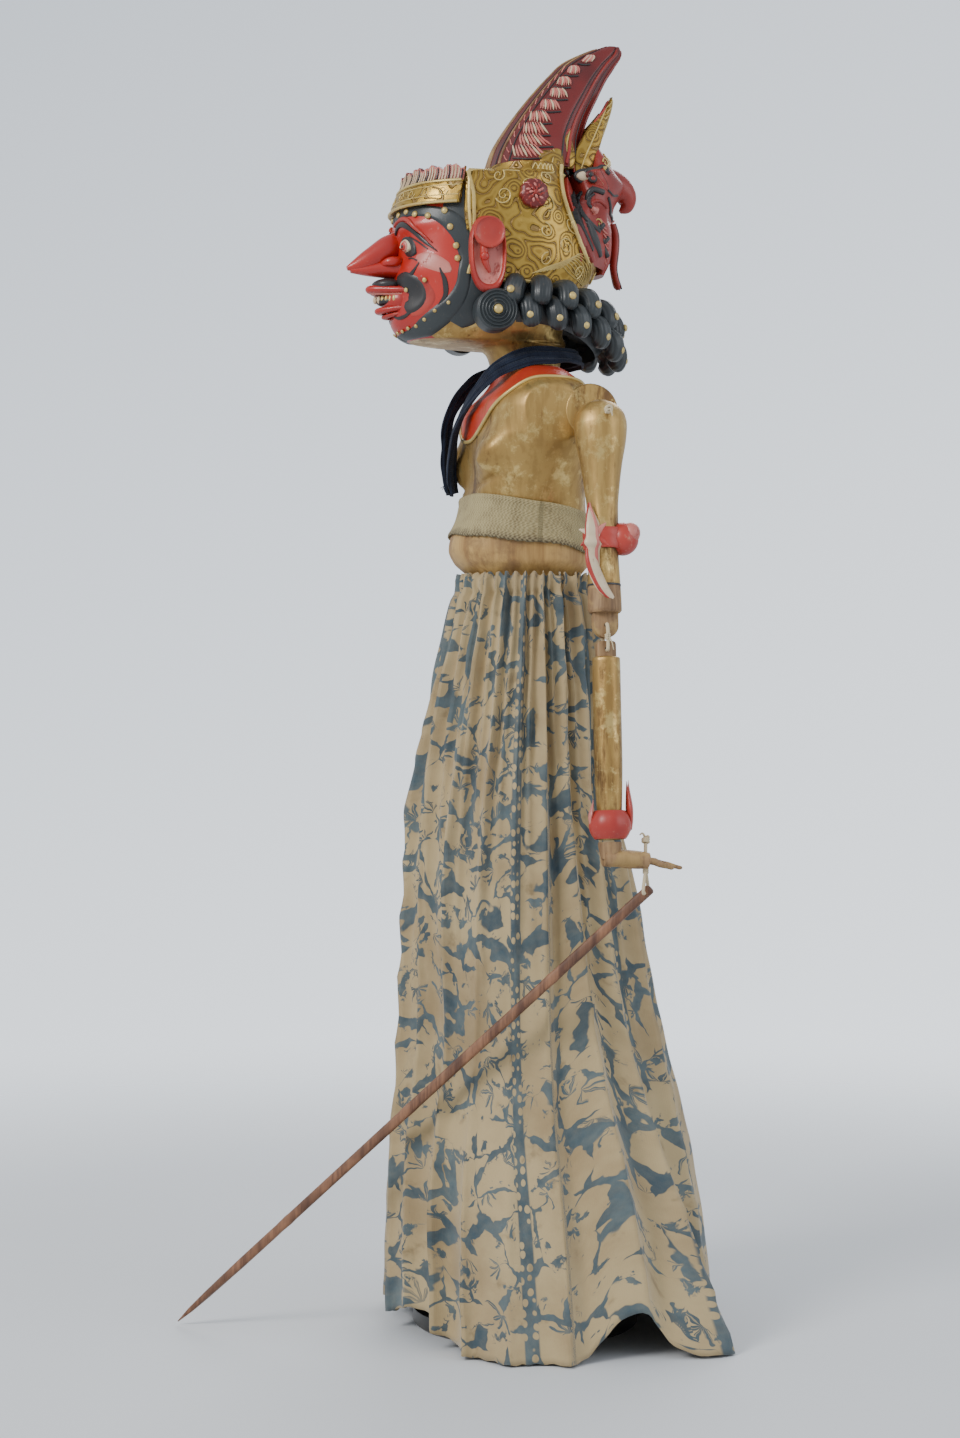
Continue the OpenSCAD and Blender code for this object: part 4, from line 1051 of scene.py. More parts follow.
    # hand: palm bent backward at the wrist, four fingers side by side and a thumb under them
    hand = Piece(word + "_hand_carved")
    hand.grid(lathe([(5.5, WRIST - 1.1), (5.6, WRIST - 2.6), (5.2, WRIST - 5.4), (4.4, WRIST - 9)], (0, -0.2, 0),
                    cols=30), bare_wood)
    palm = spline([(0, -3.6, WRIST - 8.5), (0, 3, WRIST - 8.6), (0, 10, WRIST - 9.0), (0, 18, WRIST - 10.0)], 26)
    hand.grid(tube(palm, 5.3 - 0.3 * np.abs(np.linspace(-1, 1, 26)) ** 4, 24, 0.78, hint=(0, 0, 1)), bare_wood)
    for k in range(4):
        x = (k - 1.5) * 2.55
        reach = (0.9, 1.0, 0.97, 0.84)[k]
        path = spline([(x, 13, WRIST - 9.4), (x, 20, WRIST - 10.2), (x * 0.98, 27 * reach, WRIST - 11.6),
                       (x * 0.9, (HAND - 3) * reach, WRIST - 13.4)], 26)
        r = 1.42 - 0.42 * np.linspace(0, 1, 26) ** 2 + 0.09 * np.cos(np.linspace(0, 1, 26) * 17)
        hand.grid(tube(path, r, 12, hint=(0, 0, 1)), bare_wood)
        hand.grid(ball(path[-1] + [0, 0.1, 0], (1.0, 1.2, 0.9), 8, 12), bare_wood)
    thumb = spline([(-3.6, 1.5, WRIST - 10), (-4.6, 7, WRIST - 11.5), (-4.0, 14, WRIST - 12.4),
                    (-3.2, 19, WRIST - 12.6)], 20)
    hand.grid(tube(thumb, np.linspace(1.9, 0.95, 20), 12), bare_wood)
    on_forearm(hand, side).make([word + "_hand"], word + "_forearm", "bare_wood", 60)

# %% [markdown]
# ## Hand rods
# Each rod hangs from the hand on a short tied string and reaches down to the ground. The rod is a
# split of bamboo with rounded edges, swelling at its joints and shaved to a point.

# %% Hand rods and strings
ROD_LONG, ROD_THICK = 321.0, 4.8
hole = SHOULDER + LEAN @ np.array([ARM_X, HAND * 0.46, -UPPER + WRIST - 8])
top = hole - np.array([0, 0, HANG])
fall = math.asin((top[2] - 1.6) / ROD_LONG)

for side, word, heading in ((1, "left", -119), (-1, "right", 176)):
    pivot = top * np.array([side, 1, 1])
    turn_z = np.array(Matrix.Rotation(math.radians(heading), 3, "Z"))
    dip = np.array(Matrix.Rotation(fall, 3, "Y"))
    rod = Piece(word + "_hand_rod_bamboo")
    s = np.concatenate([[-3.4, -2.9, -2.4], np.linspace(-1, ROD_LONG - 30, 90),
                        np.linspace(ROD_LONG - 29, ROD_LONG, 24)])
    spread = np.interp(s, [-3.4, -2.9, -2.4, 128, 276, 300, 312, 321], [0.6, 0.88, 1, 1, 0.96, 1.3, 0.85, 0.1])
    depth = np.interp(s, [-3.4, -2.9, -2.4, 128, 276, 300, 312, 321], [0.6, 0.88, 1, 1.04, 0.9, 0.7, 0.5, 0.1])
    joints = sum(0.10 * bell(s, at, 2.2) - 0.05 * bell(s, at + 4, 2) for at in (62, 158, 243))
    a = np.linspace(0, 2 * np.pi, 28, endpoint=False)
    c, n = np.cos(a), np.sin(a)
    round_y = np.sign(c) * np.abs(c) ** 0.62 * ROD_THICK / 2
    round_z = np.sign(n) * np.abs(n) ** 0.62 * ROD_THICK / 2
    drift = 0.5 * np.sin(s / ROD_LONG * np.pi * 1.3) * ease(s, 20, 80)
    points = np.stack(
        [s[:, None] + 0 * c, round_y * (spread + joints)[:, None] + drift[:, None],
         round_z * (depth + joints)[:, None]], -1
    )
    rod.grid(points, rod_wood)
    rod.moved(turn_z @ dip, pivot).make([word + "_hand_rod"], word + "_rod", "rod_wood", 50)

    tie = Piece(word + "_hand_string_tied")
    half, rise = ROD_THICK / 2 + 0.9 + 1.9, 10.0
    tie.grid(tube([(0, 0, rise), (0.1, 0.1, (rise + HANG) / 2), (0, 0, HANG + 6.5)], 0.85, 10, hint=(1, 0, 0)), thread)
    for k in (-1, 1):
        path = spline([(0, 0, rise + 0.4), (0, k * half * 0.55, rise * 0.62), (0, k * half * 1.0, 2.4),
                       (0, k * half * 0.9, 0),
                       (0, k * half * 0.45, 0), (0, 0, 0)], 36)
        tie.grid(tube(path, 0.8, 10, hint=(1, 0, 0)), thread)
    for k in range(4):
        t = np.linspace(0, 2 * np.pi, 20)
        wrap = np.stack([1.0 * np.cos(t), 1.0 * np.sin(t), rise - 0.6 + 0.95 * k + 0.15 * np.sin(t)], 1)
        tie.grid(tube(wrap, 0.55, 8, hint=(0.05, 0, 1)), thread, caps=(False, False))
    for k in range(3):
        t = np.linspace(0, 2 * np.pi, 22)
        loop = np.stack([1.3 * np.cos(t + k), 1.4 * np.sin(t + k), HANG + 7.0 + 0.8 * k + 0.5 * np.sin(t)], 1)
        tie.grid(tube(loop, 0.75, 8, hint=(0.1, 0, 1)), thread)
    for dx, dy, dz in ((2.6, 1.2, 3.0), (-2.2, 1.8, 1.6)):
        start = np.array([0, 0, HANG + 8.5])
        loose = spline([start, start + [dx * 0.5, dy * 0.5, dz * 0.8], start + [dx, dy, dz * 0.55]], 12)
        tie.grid(tube(loose, np.linspace(0.7, 0.3, 12), 6, hint=(0.2, 0.1, 1)), thread)
    tie.moved(turn_z, pivot).make([word + "_hand_string"], word + "_hand_string", "string", 60)
print("limbs made")

# %% [markdown]
# ## The head
# The head block is one surface, addressed by height and by angle from the front. The face's
# features are pushed out of it with bell-shaped bumps, and painted areas are thin ribbons that
# follow it, so that eyes, brows and beard all sit on the same carving.

# %% Head surface
NECK = 475.0
HEAD = np.array(
    [
        [0, -17, 17, 17, 0], [6, -19, 18, 18, 0], [9.5, -23, 19, 20, 0], [11.5, -58, 20, 22, -14],
     [16, -65, 18, 26, -14],
        [23, -68, 19, 30, -14], [31, -67, 23, 33, -14], [40, -67, 27, 35, -14], [50, -65.5, 31, 36.5, -12],
        [60, -66.5, 28, 37, -12], [70, -66, 23, 37.5, -12], [80, -63, 19, 37.5, -12], [88, -59.5, 16.5, 37, -12],
        [90, -58.5, 16, 36.5, -12], [91, -20, 15, 32, -2], [97, -19.5, 14.5, 30, -2],
    ], float,
)


def head_at(phi, h, grow=0.0):
    """A point on the head; phi is the angle from the front toward the puppet's left."""
    phi, h = np.broadcast_arrays(np.asarray(phi, float), np.asarray(h, float))
    turn = np.abs(around(phi, 0))
    push = (
        -2.6 * bell(h, 56, 6.5) * bell(turn, 17, 11)
        + 1.9 * bell(h, 65.5, 3.6) * bell(turn, 22, 20)
        + 1.6 * bell(h, 45, 7) * bell(turn, 34, 14)
        - 1.3 * bell(h, 33, 6) * bell(turn, 30, 10)
        + 1.1 * bell(h, 17, 5) * bell(turn, 0, 16)
        - 0.8 * bell(h, 52, 9) * bell(turn, 62, 9)
    )
    x, y = section(smooth(HEAD, h), phi - 90, grow + push, 2.3)
    return np.stack([x, y, h + NECK], -1)


def normals(surface, phi, h):
    """Outward unit normals of a surface of (angle, height)."""
    a = surface(phi + 0.5, h) - surface(phi - 0.5, h)
    b = surface(phi, h + 0.25) - surface(phi, h - 0.25)
    n = np.cross(a, b)
    return n / (np.linalg.norm(n, axis=-1, keepdims=True) + 1e-9)


def ribbon(piece, surface, path, width, finish, grow=0.3, crown=0.0, count=60, cols=9):
    """A painted or raised strip along a path of (angle, height) on a surface."""
    way = spline(path, count)
    phi, h = way[:, 0], way[:, 1]
    centre, n = surface(phi, h), normals(surface, phi, h)
    along = np.gradient(centre, axis=0)
    along /= np.linalg.norm(along, axis=1, keepdims=True) + 1e-9
    aside = np.cross(n, along)
    aside /= np.linalg.norm(aside, axis=1, keepdims=True) + 1e-9
    w = np.broadcast_to(np.asarray(width, float), (count,)) if np.ndim(width) < 2 else smooth(width,
        np.linspace(0, 1, count))[:, 0]
    v = np.linspace(-1, 1, cols)
    points = centre[:, None] + aside[:, None] * (w[:, None] * v)[..., None]
    # lower each point back to the surface under it, then lift by the paint's own height
    du, dh = surface(phi + 0.5, h) - surface(phi - 0.5, h), surface(phi, h + 0.5) - surface(phi, h - 0.5)
    gram = np.stack([(du * du).sum(1), (du * dh).sum(1), (dh * dh).sum(1)], 1)
    det = gram[:, 0] * gram[:, 2] - gram[:, 1] ** 2 + 1e-9
    move = points - centre[:, None]
    a, b = (move * du[:, None]).sum(2), (move * dh[:, None]).sum(2)
    d_phi = (a * gram[:, 2:3] - b * gram[:, 1:2]) / det[:, None]
    d_h = (b * gram[:, 0:1] - a * gram[:, 1:2]) / det[:, None]
    phi2, h2 = phi[:, None] + d_phi, h[:, None] + d_h
    rise = grow + crown * np.sqrt(np.clip(1 - v**2, 0, 1)) * np.ones_like(phi2)
    rise[:, [0, -1]] = -0.15
    ends = np.ones(count)
    ends[[0, -1]] = 0
    rise = np.where(ends[:, None] > 0, rise, -0.15)
    back = surface(phi2, h2) + normals(surface, phi2, h2) * rise[..., None]
    piece.grid(back, finish, wrap=False, flip=True)


def dots(piece, surface, places, radius, finish, grow=0.4):
    for phi, h in places:
        at = surface(np.array(phi), np.array(h), grow)
        n = normals(surface, np.array([float(phi)]), np.array([float(h)]))[0]
        piece.grid(ball(at, (radius, radius, radius * 0.55), 8, 14, n), finish)


# %% Head block and face
head = Piece("head_carved")
PHI = np.arange(0, 360, 2.0)


def head_rows(low, high, count, finish, caps):
    h, a = np.meshgrid(np.linspace(low, high, count), PHI, indexing="ij")
    head.grid(head_at(a, h), finish, caps=caps)


head_rows(0, 11.6, 26, gold_skin, (True, False))
for low, high, count, edge, inside, outside in ((11.6, 20, 20, 40, face_red, gold_skin),
                                                (20, 30, 20, 58, face_red, charcoal),
                                                (30, 66, 80, 62, face_red, charcoal),
                                                (66, 90.2, 50, 50, face_red, charcoal)):
    for first, last, finish in ((-edge, edge, inside), (edge, 360 - edge, outside)):
        h, a = np.meshgrid(np.linspace(low, high, count), np.arange(first, last + 1, 2.0), indexing="ij")
        head.grid(head_at(a, h), finish, wrap=False)
head_rows(90.2, 97, 16, carved_gold, (False, True))

# nose, with wings, and a ridge that runs up between the brows
t = np.linspace(0, 1, 44)
bridge = spline([(0, -58, 66), (0, -63.5, 62), (0, -70, 57), (0, -77, 52.5), (0, -84.5, 48.7), (0, -90.2, 46.6)],
                44) + [0, 0, NECK]
head.grid(tube(bridge, smooth(np.array([[0, 1.2], [0.15, 3.6], [0.4, 6.3], [0.62, 5.4], [0.85, 3.0], [1, 1.1]]), t)[:,
        0], 26, 0.92,
               hint=(1, 0, 0)), face_red)
under = spline([(0, -60, 47.5), (0, -70, 47.2), (0, -80, 46.2), (0, -88.5, 45.6)], 30) + [0, 0, NECK]
head.grid(tube(under, np.linspace(8.4, 1.5, 30), 24, 0.8, hint=(0, 0, 1)), face_red)
for side in (-1, 1):
    wing = spline([(side * 3.2, -74, 48.6), (side * 6.2, -70.5, 49.5), (side * 6.8, -66.5, 50.0),
                   (side * 5.0, -63.5, 52)], 22) + [0, 0, NECK]
    head.grid(tube(wing, [1.0 + 1.5 * math.sin(math.pi * k / 21) for k in range(22)], 14, hint=(1, 0, 0.2)), face_red)
    head.grid(ball((side * 3.4, -73.6, NECK + 46.6), (1.7, 2.3, 1.0), 8, 14), ink)

# lips and teeth
for finish, points, radius, flat in (
    (face_red, [(-15, -57, 35), (-9, -68, 35.6), (0, -78.6, 36.6), (9, -68, 35.6), (15, -57, 35)], 2.5, 0.8),
    (rose, [(-14, -57.5, 33.4), (-8, -68, 33.8), (0, -77.4, 34.9), (8, -68, 33.8), (14, -57.5, 33.4)], 1.5, 0.7),
    (ink, [(-13, -57, 30.5), (-8, -66, 30.6), (0, -73.2, 30.6), (8, -66, 30.6), (13, -57, 30.5)], 2.3, 0.8),
    (face_red, [(-14, -57, 27.2), (-8, -67.5, 26.6), (0, -74.4, 26.0), (8, -67.5, 26.6), (14, -57, 27.2)], 2.1, 0.8),
    (coral, [(-12, -60.5, 24.6), (-7, -67.5, 23.8), (0, -71.5, 23.2), (7, -67.5, 23.8), (12, -60.5, 24.6)], 1.5, 0.7),
):
    path = spline(points, 48) + [0, 0, NECK]
    r = radius * (0.45 + 0.55 * np.sin(np.pi * np.linspace(0.04, 0.96, 48)))
    head.grid(tube(path, r, 14, flat, hint=(0, 0, 1)), finish)
for k in range(-5, 6):
    x = k * 1.75
    y = -76.2 + 0.92 * abs(x)
    tooth = ball((x, y, NECK + 31.4), (0.98, 1.1, 1.9), 10, 12)
    head.grid(tooth, gold_dot if abs(k) > 1 else cream)

# eyes: a black socket line, a white, a red iris, a black pupil
for side in (-1, 1):
    almond = [[0, 0.5], [0.25, 3.9], [0.5, 4.9], [0.75, 3.6], [1, 0.4]]
    def lay(path, width, finish, grow=0.3, crown=0.0, count=50, side=side):
        mirrored = [(side * p, q) for p, q in path]
        part = Piece("part")
        ribbon(part, head_at, mirrored, width, finish, grow, crown, count)
        if side < 0:
            part.faces = [f[::-1] for f in part.faces]
        head.points += part.points
        head.uv += part.uv
        base = head.count
        head.faces_of([[i + base for i in f] for f in part.faces], finish, part.count)

    lay([(8, 56.5), (13, 57.2), (19, 56), (25, 53.5), (30, 51.5)], np.array(almond), ink, 0.5, 0.6)
    lay([(10, 56.6), (14, 57.0), (19, 56), (24, 54)], np.array(almond) * [1, 0.8], cream, 1.0, 1.2)
    centre = head_at(side * 16.5, 56.4, 1.9)
    n = normals(head_at, np.array([side * 16.5]), np.array([56.4]))[0]
    head.grid(ball(centre, (2.7, 2.7, 1.5), 12, 22, n), rose)
    head.grid(ball(centre + n * 0.9, (1.9, 1.9, 0.9), 10, 20, n), face_red)
    head.grid(ball(centre + n * 1.5, (0.95, 0.95, 0.5), 8, 16, n), ink)
    # brow: a black line over a raised red one, and fine lines below
    lay([(5, 63), (14, 66.5), (24, 65), (36, 58), (47, 51.5)], np.array([[0, 0.5], [0.3, 1.5], [0.7, 1.2], [1, 0.2]]),
        ink, 0.5, 0.4)
    lay([(6, 66.5), (15, 69.2), (25, 67.6), (36, 61), (44, 56)], np.array([[0, 0.4], [0.35, 1.3], [1, 0.2]]), coral,
        0.7, 0.8)
    lay([(22, 60.5), (31, 57.5), (40, 53)], 0.42, ink, 0.35)
    lay([(20, 50), (26, 49.5), (33, 47.8)], 0.4, ink, 0.35)
    # worn pink cheek and the line round it
    lay([(30, 50), (40, 48), (50, 45), (58, 42)], np.array([[0, 1.2], [0.4, 4.4], [0.8, 3.4], [1, 0.8]]), rose, 0.28)
    lay([(36, 40), (42, 34), (44, 29), (38, 24), (30, 22.5)], np.array([[0, 1.5], [0.5, 3.2], [1, 1.2]]), coral, 0.3)
    # moustache: a broad curled patch with ragged edges, and a dab under the nose
    lay([(11, 40.5), (17, 40), (24, 38.5), (31, 35), (33, 30), (28, 27), (22, 27.5)],
        np.array([[0, 2.6], [0.3, 4.6], [0.6, 5.8], [0.85, 4.6], [1, 1.2]]), ink, 0.45, 0.5)
    lay([(28, 41), (32, 43.5), (35, 47)], np.array([[0, 1.5], [1, 0.2]]), ink, 0.4)
    lay([(30, 24), (24, 22), (16, 21.5), (9, 22.5)], np.array([[0, 0.9], [0.5, 1.0], [1, 0.3]]), ink, 0.45)
    lay([(50, 44), (54, 38), (55, 31), (51, 25.5)], np.array([[0, 0.4], [0.5, 1.5], [1, 0.4]]), ink, 0.4)
    # hair and beard: one dark strip from the forehead, before the ear, along the jaw to the chin
    lay([(0, 73), (14, 73), (30, 72.4), (44, 70.5), (55, 66.5), (62, 60), (65, 52), (66, 43), (65, 34), (60, 26),
         (50, 20),
         (38, 16), (24, 14), (10, 13.4), (0, 13.2)],
        np.array([[0, 3.0], [0.18, 3.0], [0.32, 5.2], [0.42, 5.0], [0.52, 3.6], [0.62, 4.6], [0.72, 5.8], [0.85, 3.6],
                  [1, 2.6]]),
        charcoal, 0.42, 0.35, 150)
    lay([(70, 66), (74, 50), (74, 36), (70, 24), (62, 17)], np.array([[0, 4], [0.4, 5], [0.8, 7], [1, 4]]), charcoal,
        0.36, 0.1, 70)
    spots = [(9, 72.4), (20, 72.8), (30, 70.6), (41, 69.0), (52, 71), (56, 63), (59, 54), (60, 48)]
    low = [(58, 27), (50, 23.4), (42, 19.5), (33, 16.8), (24, 16.2), (15, 15.2), (6, 15)]
    dots(head, head_at, [(side * p, q) for p, q in spots], 1.65, gold_dot, 0.9)
    dots(head, head_at, [(side * p, q) for p, q in low], 1.0, gold_dot, 0.9)
    dots(head, head_at, [(side * 23, 34.5), (side * 41, 38)], 1.2, gold_dot, 1.1)
    lay([(66, 61), (66.5, 70), (66, 80), (64, 90)], np.array([[0, 0.6], [0.3, 2.6], [1, 4.4]]), carved_gold, 1.1, 0.5)
head.grid(ball((0, -70, NECK + 38.6), (9.5, 8.0, 3.6), 14, 24), ink)
head.grid(ball((0, -63, NECK + 31), (11.5, 9.8, 8.5), 20, 30), face_red)
head.make(["head_block"], "head", "red_face", 55)

# %% [markdown]
# ## Diadem, cap, ears and curls
# Gold scrolls are cut into the cap. The largest are real ridges: spirals and leaf lines laid on
# the surface as thin ribs, over a finer pattern that the gold finish carries by itself.


# %% Diadem and cap
def spiral(piece, surface, phi, h, radius, turns, rib, finish, hand=1, start=0.0, squeeze=1.0):
    """A rib coiled on a surface round (phi, h)."""
    t = np.linspace(0, 1, int(30 * turns) + 8)
    a = start + hand * 2 * np.pi * turns * t
    r = radius * (1 - t) ** 0.8 + 0.15
    base = surface(np.array(phi), np.array(h))
    scale = np.linalg.norm(surface(np.array(phi + 1.0), np.array(h)) - base) + 0.05
    p, q = phi + r * np.cos(a) / scale, h + r * np.sin(a) * squeeze
    path = surface(p, q, 0.25)
    piece.grid(tube(path, rib * (1 - 0.5 * t), 7, hint=normals(surface, p, q)), finish)


def rib_line(piece, surface, path, rib, finish, lift=0.2, count=40):
    way = spline(path, count)
    points = surface(way[:, 0], way[:, 1], lift)
    piece.grid(tube(points, rib, 7, hint=normals(surface, way[:, 0], way[:, 1])), finish)


def band_at(phi, h, grow=0.0):
    return head_at(phi, np.minimum(h, 89.5), grow + 3.3) * [1, 1,
                                                            0] + np.stack([0 * h * phi, 0 * h * phi,
                                                                h + NECK + 0 * phi], -1)


diadem = Piece("crown_band_carved")
phi = np.linspace(-61, 61, 150)
jag = 2.0 * np.abs(np.sin(phi * 0.21)) + 1.3 * np.abs(np.sin(phi * 0.52 + 1)) + 0.25 * np.sin(phi * 3.1)
share = np.linspace(0, 1, 14)[:, None]
gold = band_at(phi[None] + 0 * share, 74.5 + (85.4 - 74.5) * share, -0.2 + 0.35 * np.sin(share * np.pi) ** 0.5)
hatch = band_at(phi[None] + 0 * share, 85.4 + (90.4 + jag[None] - 85.4) * share, -0.7 + 0.6 * share)
inner_top = band_at(phi, 90.4 + jag, -2.6)
inner_low = band_at(phi, 0 * phi + 76, -3.1)
lower = band_at(phi, 0 * phi + 74.6, -2.9)
diadem.grid(gold, carved_gold, wrap=False)
diadem.grid(hatch, rose, wrap=False)
diadem.grid(np.array([hatch[-1], inner_top, inner_low]), crest_red, wrap=False)
diadem.grid(np.array([lower, gold[0]]), carved_gold, wrap=False)
for side in (0, -1):
    diadem.grid(np.array([[gold[0][side], gold[-1][side], hatch[-1][side]],
                          [lower[side], inner_low[side], inner_top[side]]]),
                carved_gold, wrap=False, flip=side == 0)
for height, rib in ((74.9, 0.75), (85.3, 0.65), (78.2, 0.3), (83.0, 0.3)):
    rib_line(diadem, band_at, [(p, height) for p in np.linspace(-60, 60, 12)], rib, gold_dot, 0.1, 90)
for k in range(57):
    p = -59.5 + k * 119 / 56
    high = 90.0 + float(np.interp(p, phi, jag))
    path = band_at(np.full(4, p), np.linspace(86.0, high - 0.3, 4), -0.1)
    diadem.grid(tube(path, 0.42, 6, hint=(0, 0, 1) if abs(p) > 200 else (math.cos(p), math.sin(p), 0.1)),
                cream if k % 4 else ink)
for k in range(9):
    p = -50 + k * 12.5
    spiral(diadem, band_at, p, 80.3, 2.6, 1.3, 0.3, gold_dot, 1 if k % 2 else -1)
diadem.make(["crown_band"], "head", "carved_gold", 45)


def cap_low(phi):
    """The cap's lower edge: above the face, down before the ear, and level round the back."""
    front = np.abs(around(phi, 0))
    fall = ease(front, 62, 74)
    return 91.2 * (1 - fall) + fall * (34.5 - 2.5 * ease(front, 90, 150) + 2.0 * np.cos(np.radians(front * 2)) ** 2)


def cap_at(phi, h, grow=0.0):
    swell = 1.1 * bell(around(np.abs(around(phi, 0)), 150), 0, 40) * bell(h, 60, 22)
    return head_at(phi, h, grow + 3.1 + swell)


cap = Piece("crown_cap_carved")
phi = np.arange(0, 360, 1.6)
share = np.linspace(0, 1, 70)[:, None]
low = cap_low(phi)[None]
outer = cap_at(phi[None] + 0 * share, low + (96.9 - low) * share, 0)
inner = head_at(phi, cap_low(phi), 0.1)[None]
crown = head_at(phi, 96.9 + 0 * phi, 0.1)[None]
cap.grid(np.concatenate([inner, outer, crown]), carved_gold, caps=(False, False))
edge = [(p, float(cap_low(np.array(p))) + 0.8)
        for p in np.concatenate([np.linspace(63, 74, 8), np.linspace(80, 280, 30), np.linspace(286, 297, 8)])]
rib_line(cap, cap_at, edge, 0.95, gold_dot, 0.1, 260)
for side in (-1, 1):
    front = [(side * 69, 40), (side * 70, 52), (side * 70, 64), (side * 69, 76), (side * 66, 84), (side * 62, 91)]
    rib_line(cap, cap_at, front, 1.0, gold_dot, 0.25)
    for p, h, r, turns, hand in (
        (83, 78, 4.2, 1.6, 1), (95, 84, 4.0, 1.5, -1), (80, 87.5, 3.2, 1.3, -1), (108, 76, 4.6, 1.7, 1),
                                 (112, 88, 3.8, 1.4, 1),
        (128, 66, 5.0, 1.8, -1), (118, 55, 4.2, 1.5, 1), (104, 62, 3.6, 1.4, -1), (140, 54, 4.4, 1.6, 1),
                                 (150, 80, 4.2, 1.5, -1),
        (160, 62, 4.6, 1.6, 1), (104, 48, 3.2, 1.3, 1), (165, 45, 3.8, 1.5, -1), (132, 44, 3.4, 1.4, 1),
    ):
        spiral(cap, cap_at, side * p, h, r, turns, 0.42, gold_dot, hand * side, 0.8 * p)
    for k in range(9):
        shift = k * 2.1
        rib_line(cap, cap_at, [(side * (98 + shift), 41 + 0.4 * k), (side * (112 + shift), 46 + 0.8 * k),
                               (side * (126 + shift), 42 + 0.9 * k),
                               (side * (146 + 0.6 * shift), 38.5 + 0.3 * k)], 0.3, gold_dot, 0.1)
    for k in range(5):
        rib_line(cap, cap_at, [(side * (84 + 5 * k), 92.5), (side * (88 + 5 * k), 95.6), (side * (91 + 5 * k), 92.5)],
                 0.32, gold_dot, 0.1, 14)
# the bird's face runs round onto the cap: laid out by distance back and height
SIDE_TURNS, side_heights = np.arange(86.0, 180.0, 1.0), np.linspace(34, 97, 64)
SIDE_BACKS = np.maximum.accumulate(cap_at(SIDE_TURNS[None], side_heights[:, None])[..., 1], axis=1)


def side_at(back, h, grow=0.0):
    """The cap by distance back and height; a minus sign on the distance is the puppet's right."""
    back, h = np.broadcast_arrays(np.asarray(back, float), np.asarray(h, float))
    side, back = np.where(back < 0, -1, 1), np.abs(back)
    rows = np.clip(((h - 34) / 1.0).astype(int), 0, 63)
    turn = np.array([np.interp(b, SIDE_BACKS[r], SIDE_TURNS) for b,
                     r in zip(back.ravel(), rows.ravel())]).reshape(back.shape)
    return cap_at(side * turn, np.minimum(h, 96.8), grow)


for side in (-1, 1):
    for path, wide, finish, grow, crown in (
        ([(19, 97), (18.5, 88), (20, 78), (22.5, 68), (25.5, 58), (28, 50)], [[0, 7.5], [0.4, 8.5], [0.7, 7], [1, 2]],
         mask_red, 0.5, 1.2),
        ([(21, 78), (19.5, 72), (23, 64), (27, 55)], [[0, 1.5], [0.4, 4.2], [1, 1.5]], ink, 1.7, 0.5),
        ([(15, 94.5), (20, 95.8), (26, 94.5)], [[0, 1.2], [0.5, 3.4], [1, 2.4]], ink, 1.7, 0.6),
        ([(17, 94.4), (21, 94.6), (26, 92.6)], [[0, 0.4], [0.5, 1.9], [1, 1.2]], cream, 2.2, 0.8),
        ([(27, 87), (21.5, 86), (17.5, 82), (18.5, 76), (23, 71), (27, 67)], [[0, 0.9], [0.4, 1.7], [1, 1.2]], ink,
         2.0, 0.4),
        ([(13.5, 90), (12.8, 82), (15.5, 73)], [[0, 0.4], [0.5, 0.9], [1, 0.4]], coral, 1.6, 0.3),
    ):
        ribbon(cap, side_at, [(side * b, h) for b, h in path], np.array(wide, float), finish, grow, crown, 60)
    rib_line(cap, side_at, [(side * b, h) for b,
                            h in ((11, 96.5), (9.8, 88), (11, 79), (14.5, 69), (19, 59), (24, 49))], 1.1, gold_dot,
             0.8, 90)
cap.make(["crown_cap"], "head", "carved_gold", 40)

# %% Crest
CREST = np.array(
    [
        [97.3, -20, 24, 27], [106, -17, 27, 22], [113.5, -13, 28, 17], [124, -6, 31, 14], [137, 4, 37, 11],
        [146, 12, 41.5, 8.5], [153, 19, 46, 6.5], [160, 32, 50, 4.5], [163.5, 41, 49, 2.5],
    ], float,
)
CREST = np.hstack([CREST, CREST[:, 1:3].mean(1, keepdims=True)])


def crest_at(phi, h, grow=0.0):
    """A point on the crest; phi runs from its front edge toward the puppet's left."""
    phi, h = np.broadcast_arrays(np.asarray(phi, float), np.asarray(h, float))
    turn = np.abs(around(phi, 0))
    groove = -0.9 * bell(turn, 52, 5) * ease(h, 99, 106) - 0.9 * bell(turn, 118, 6) * ease(h, 99, 108)
    lobes = 0.5 * np.cos(np.radians(turn * 6)) * ease(h, 100, 112) * (1 - ease(h, 150, 162))
    x, y = section(smooth(CREST, h), phi - 90, grow + groove + lobes, 2.2)
    return np.stack([x, y, h + NECK], -1)


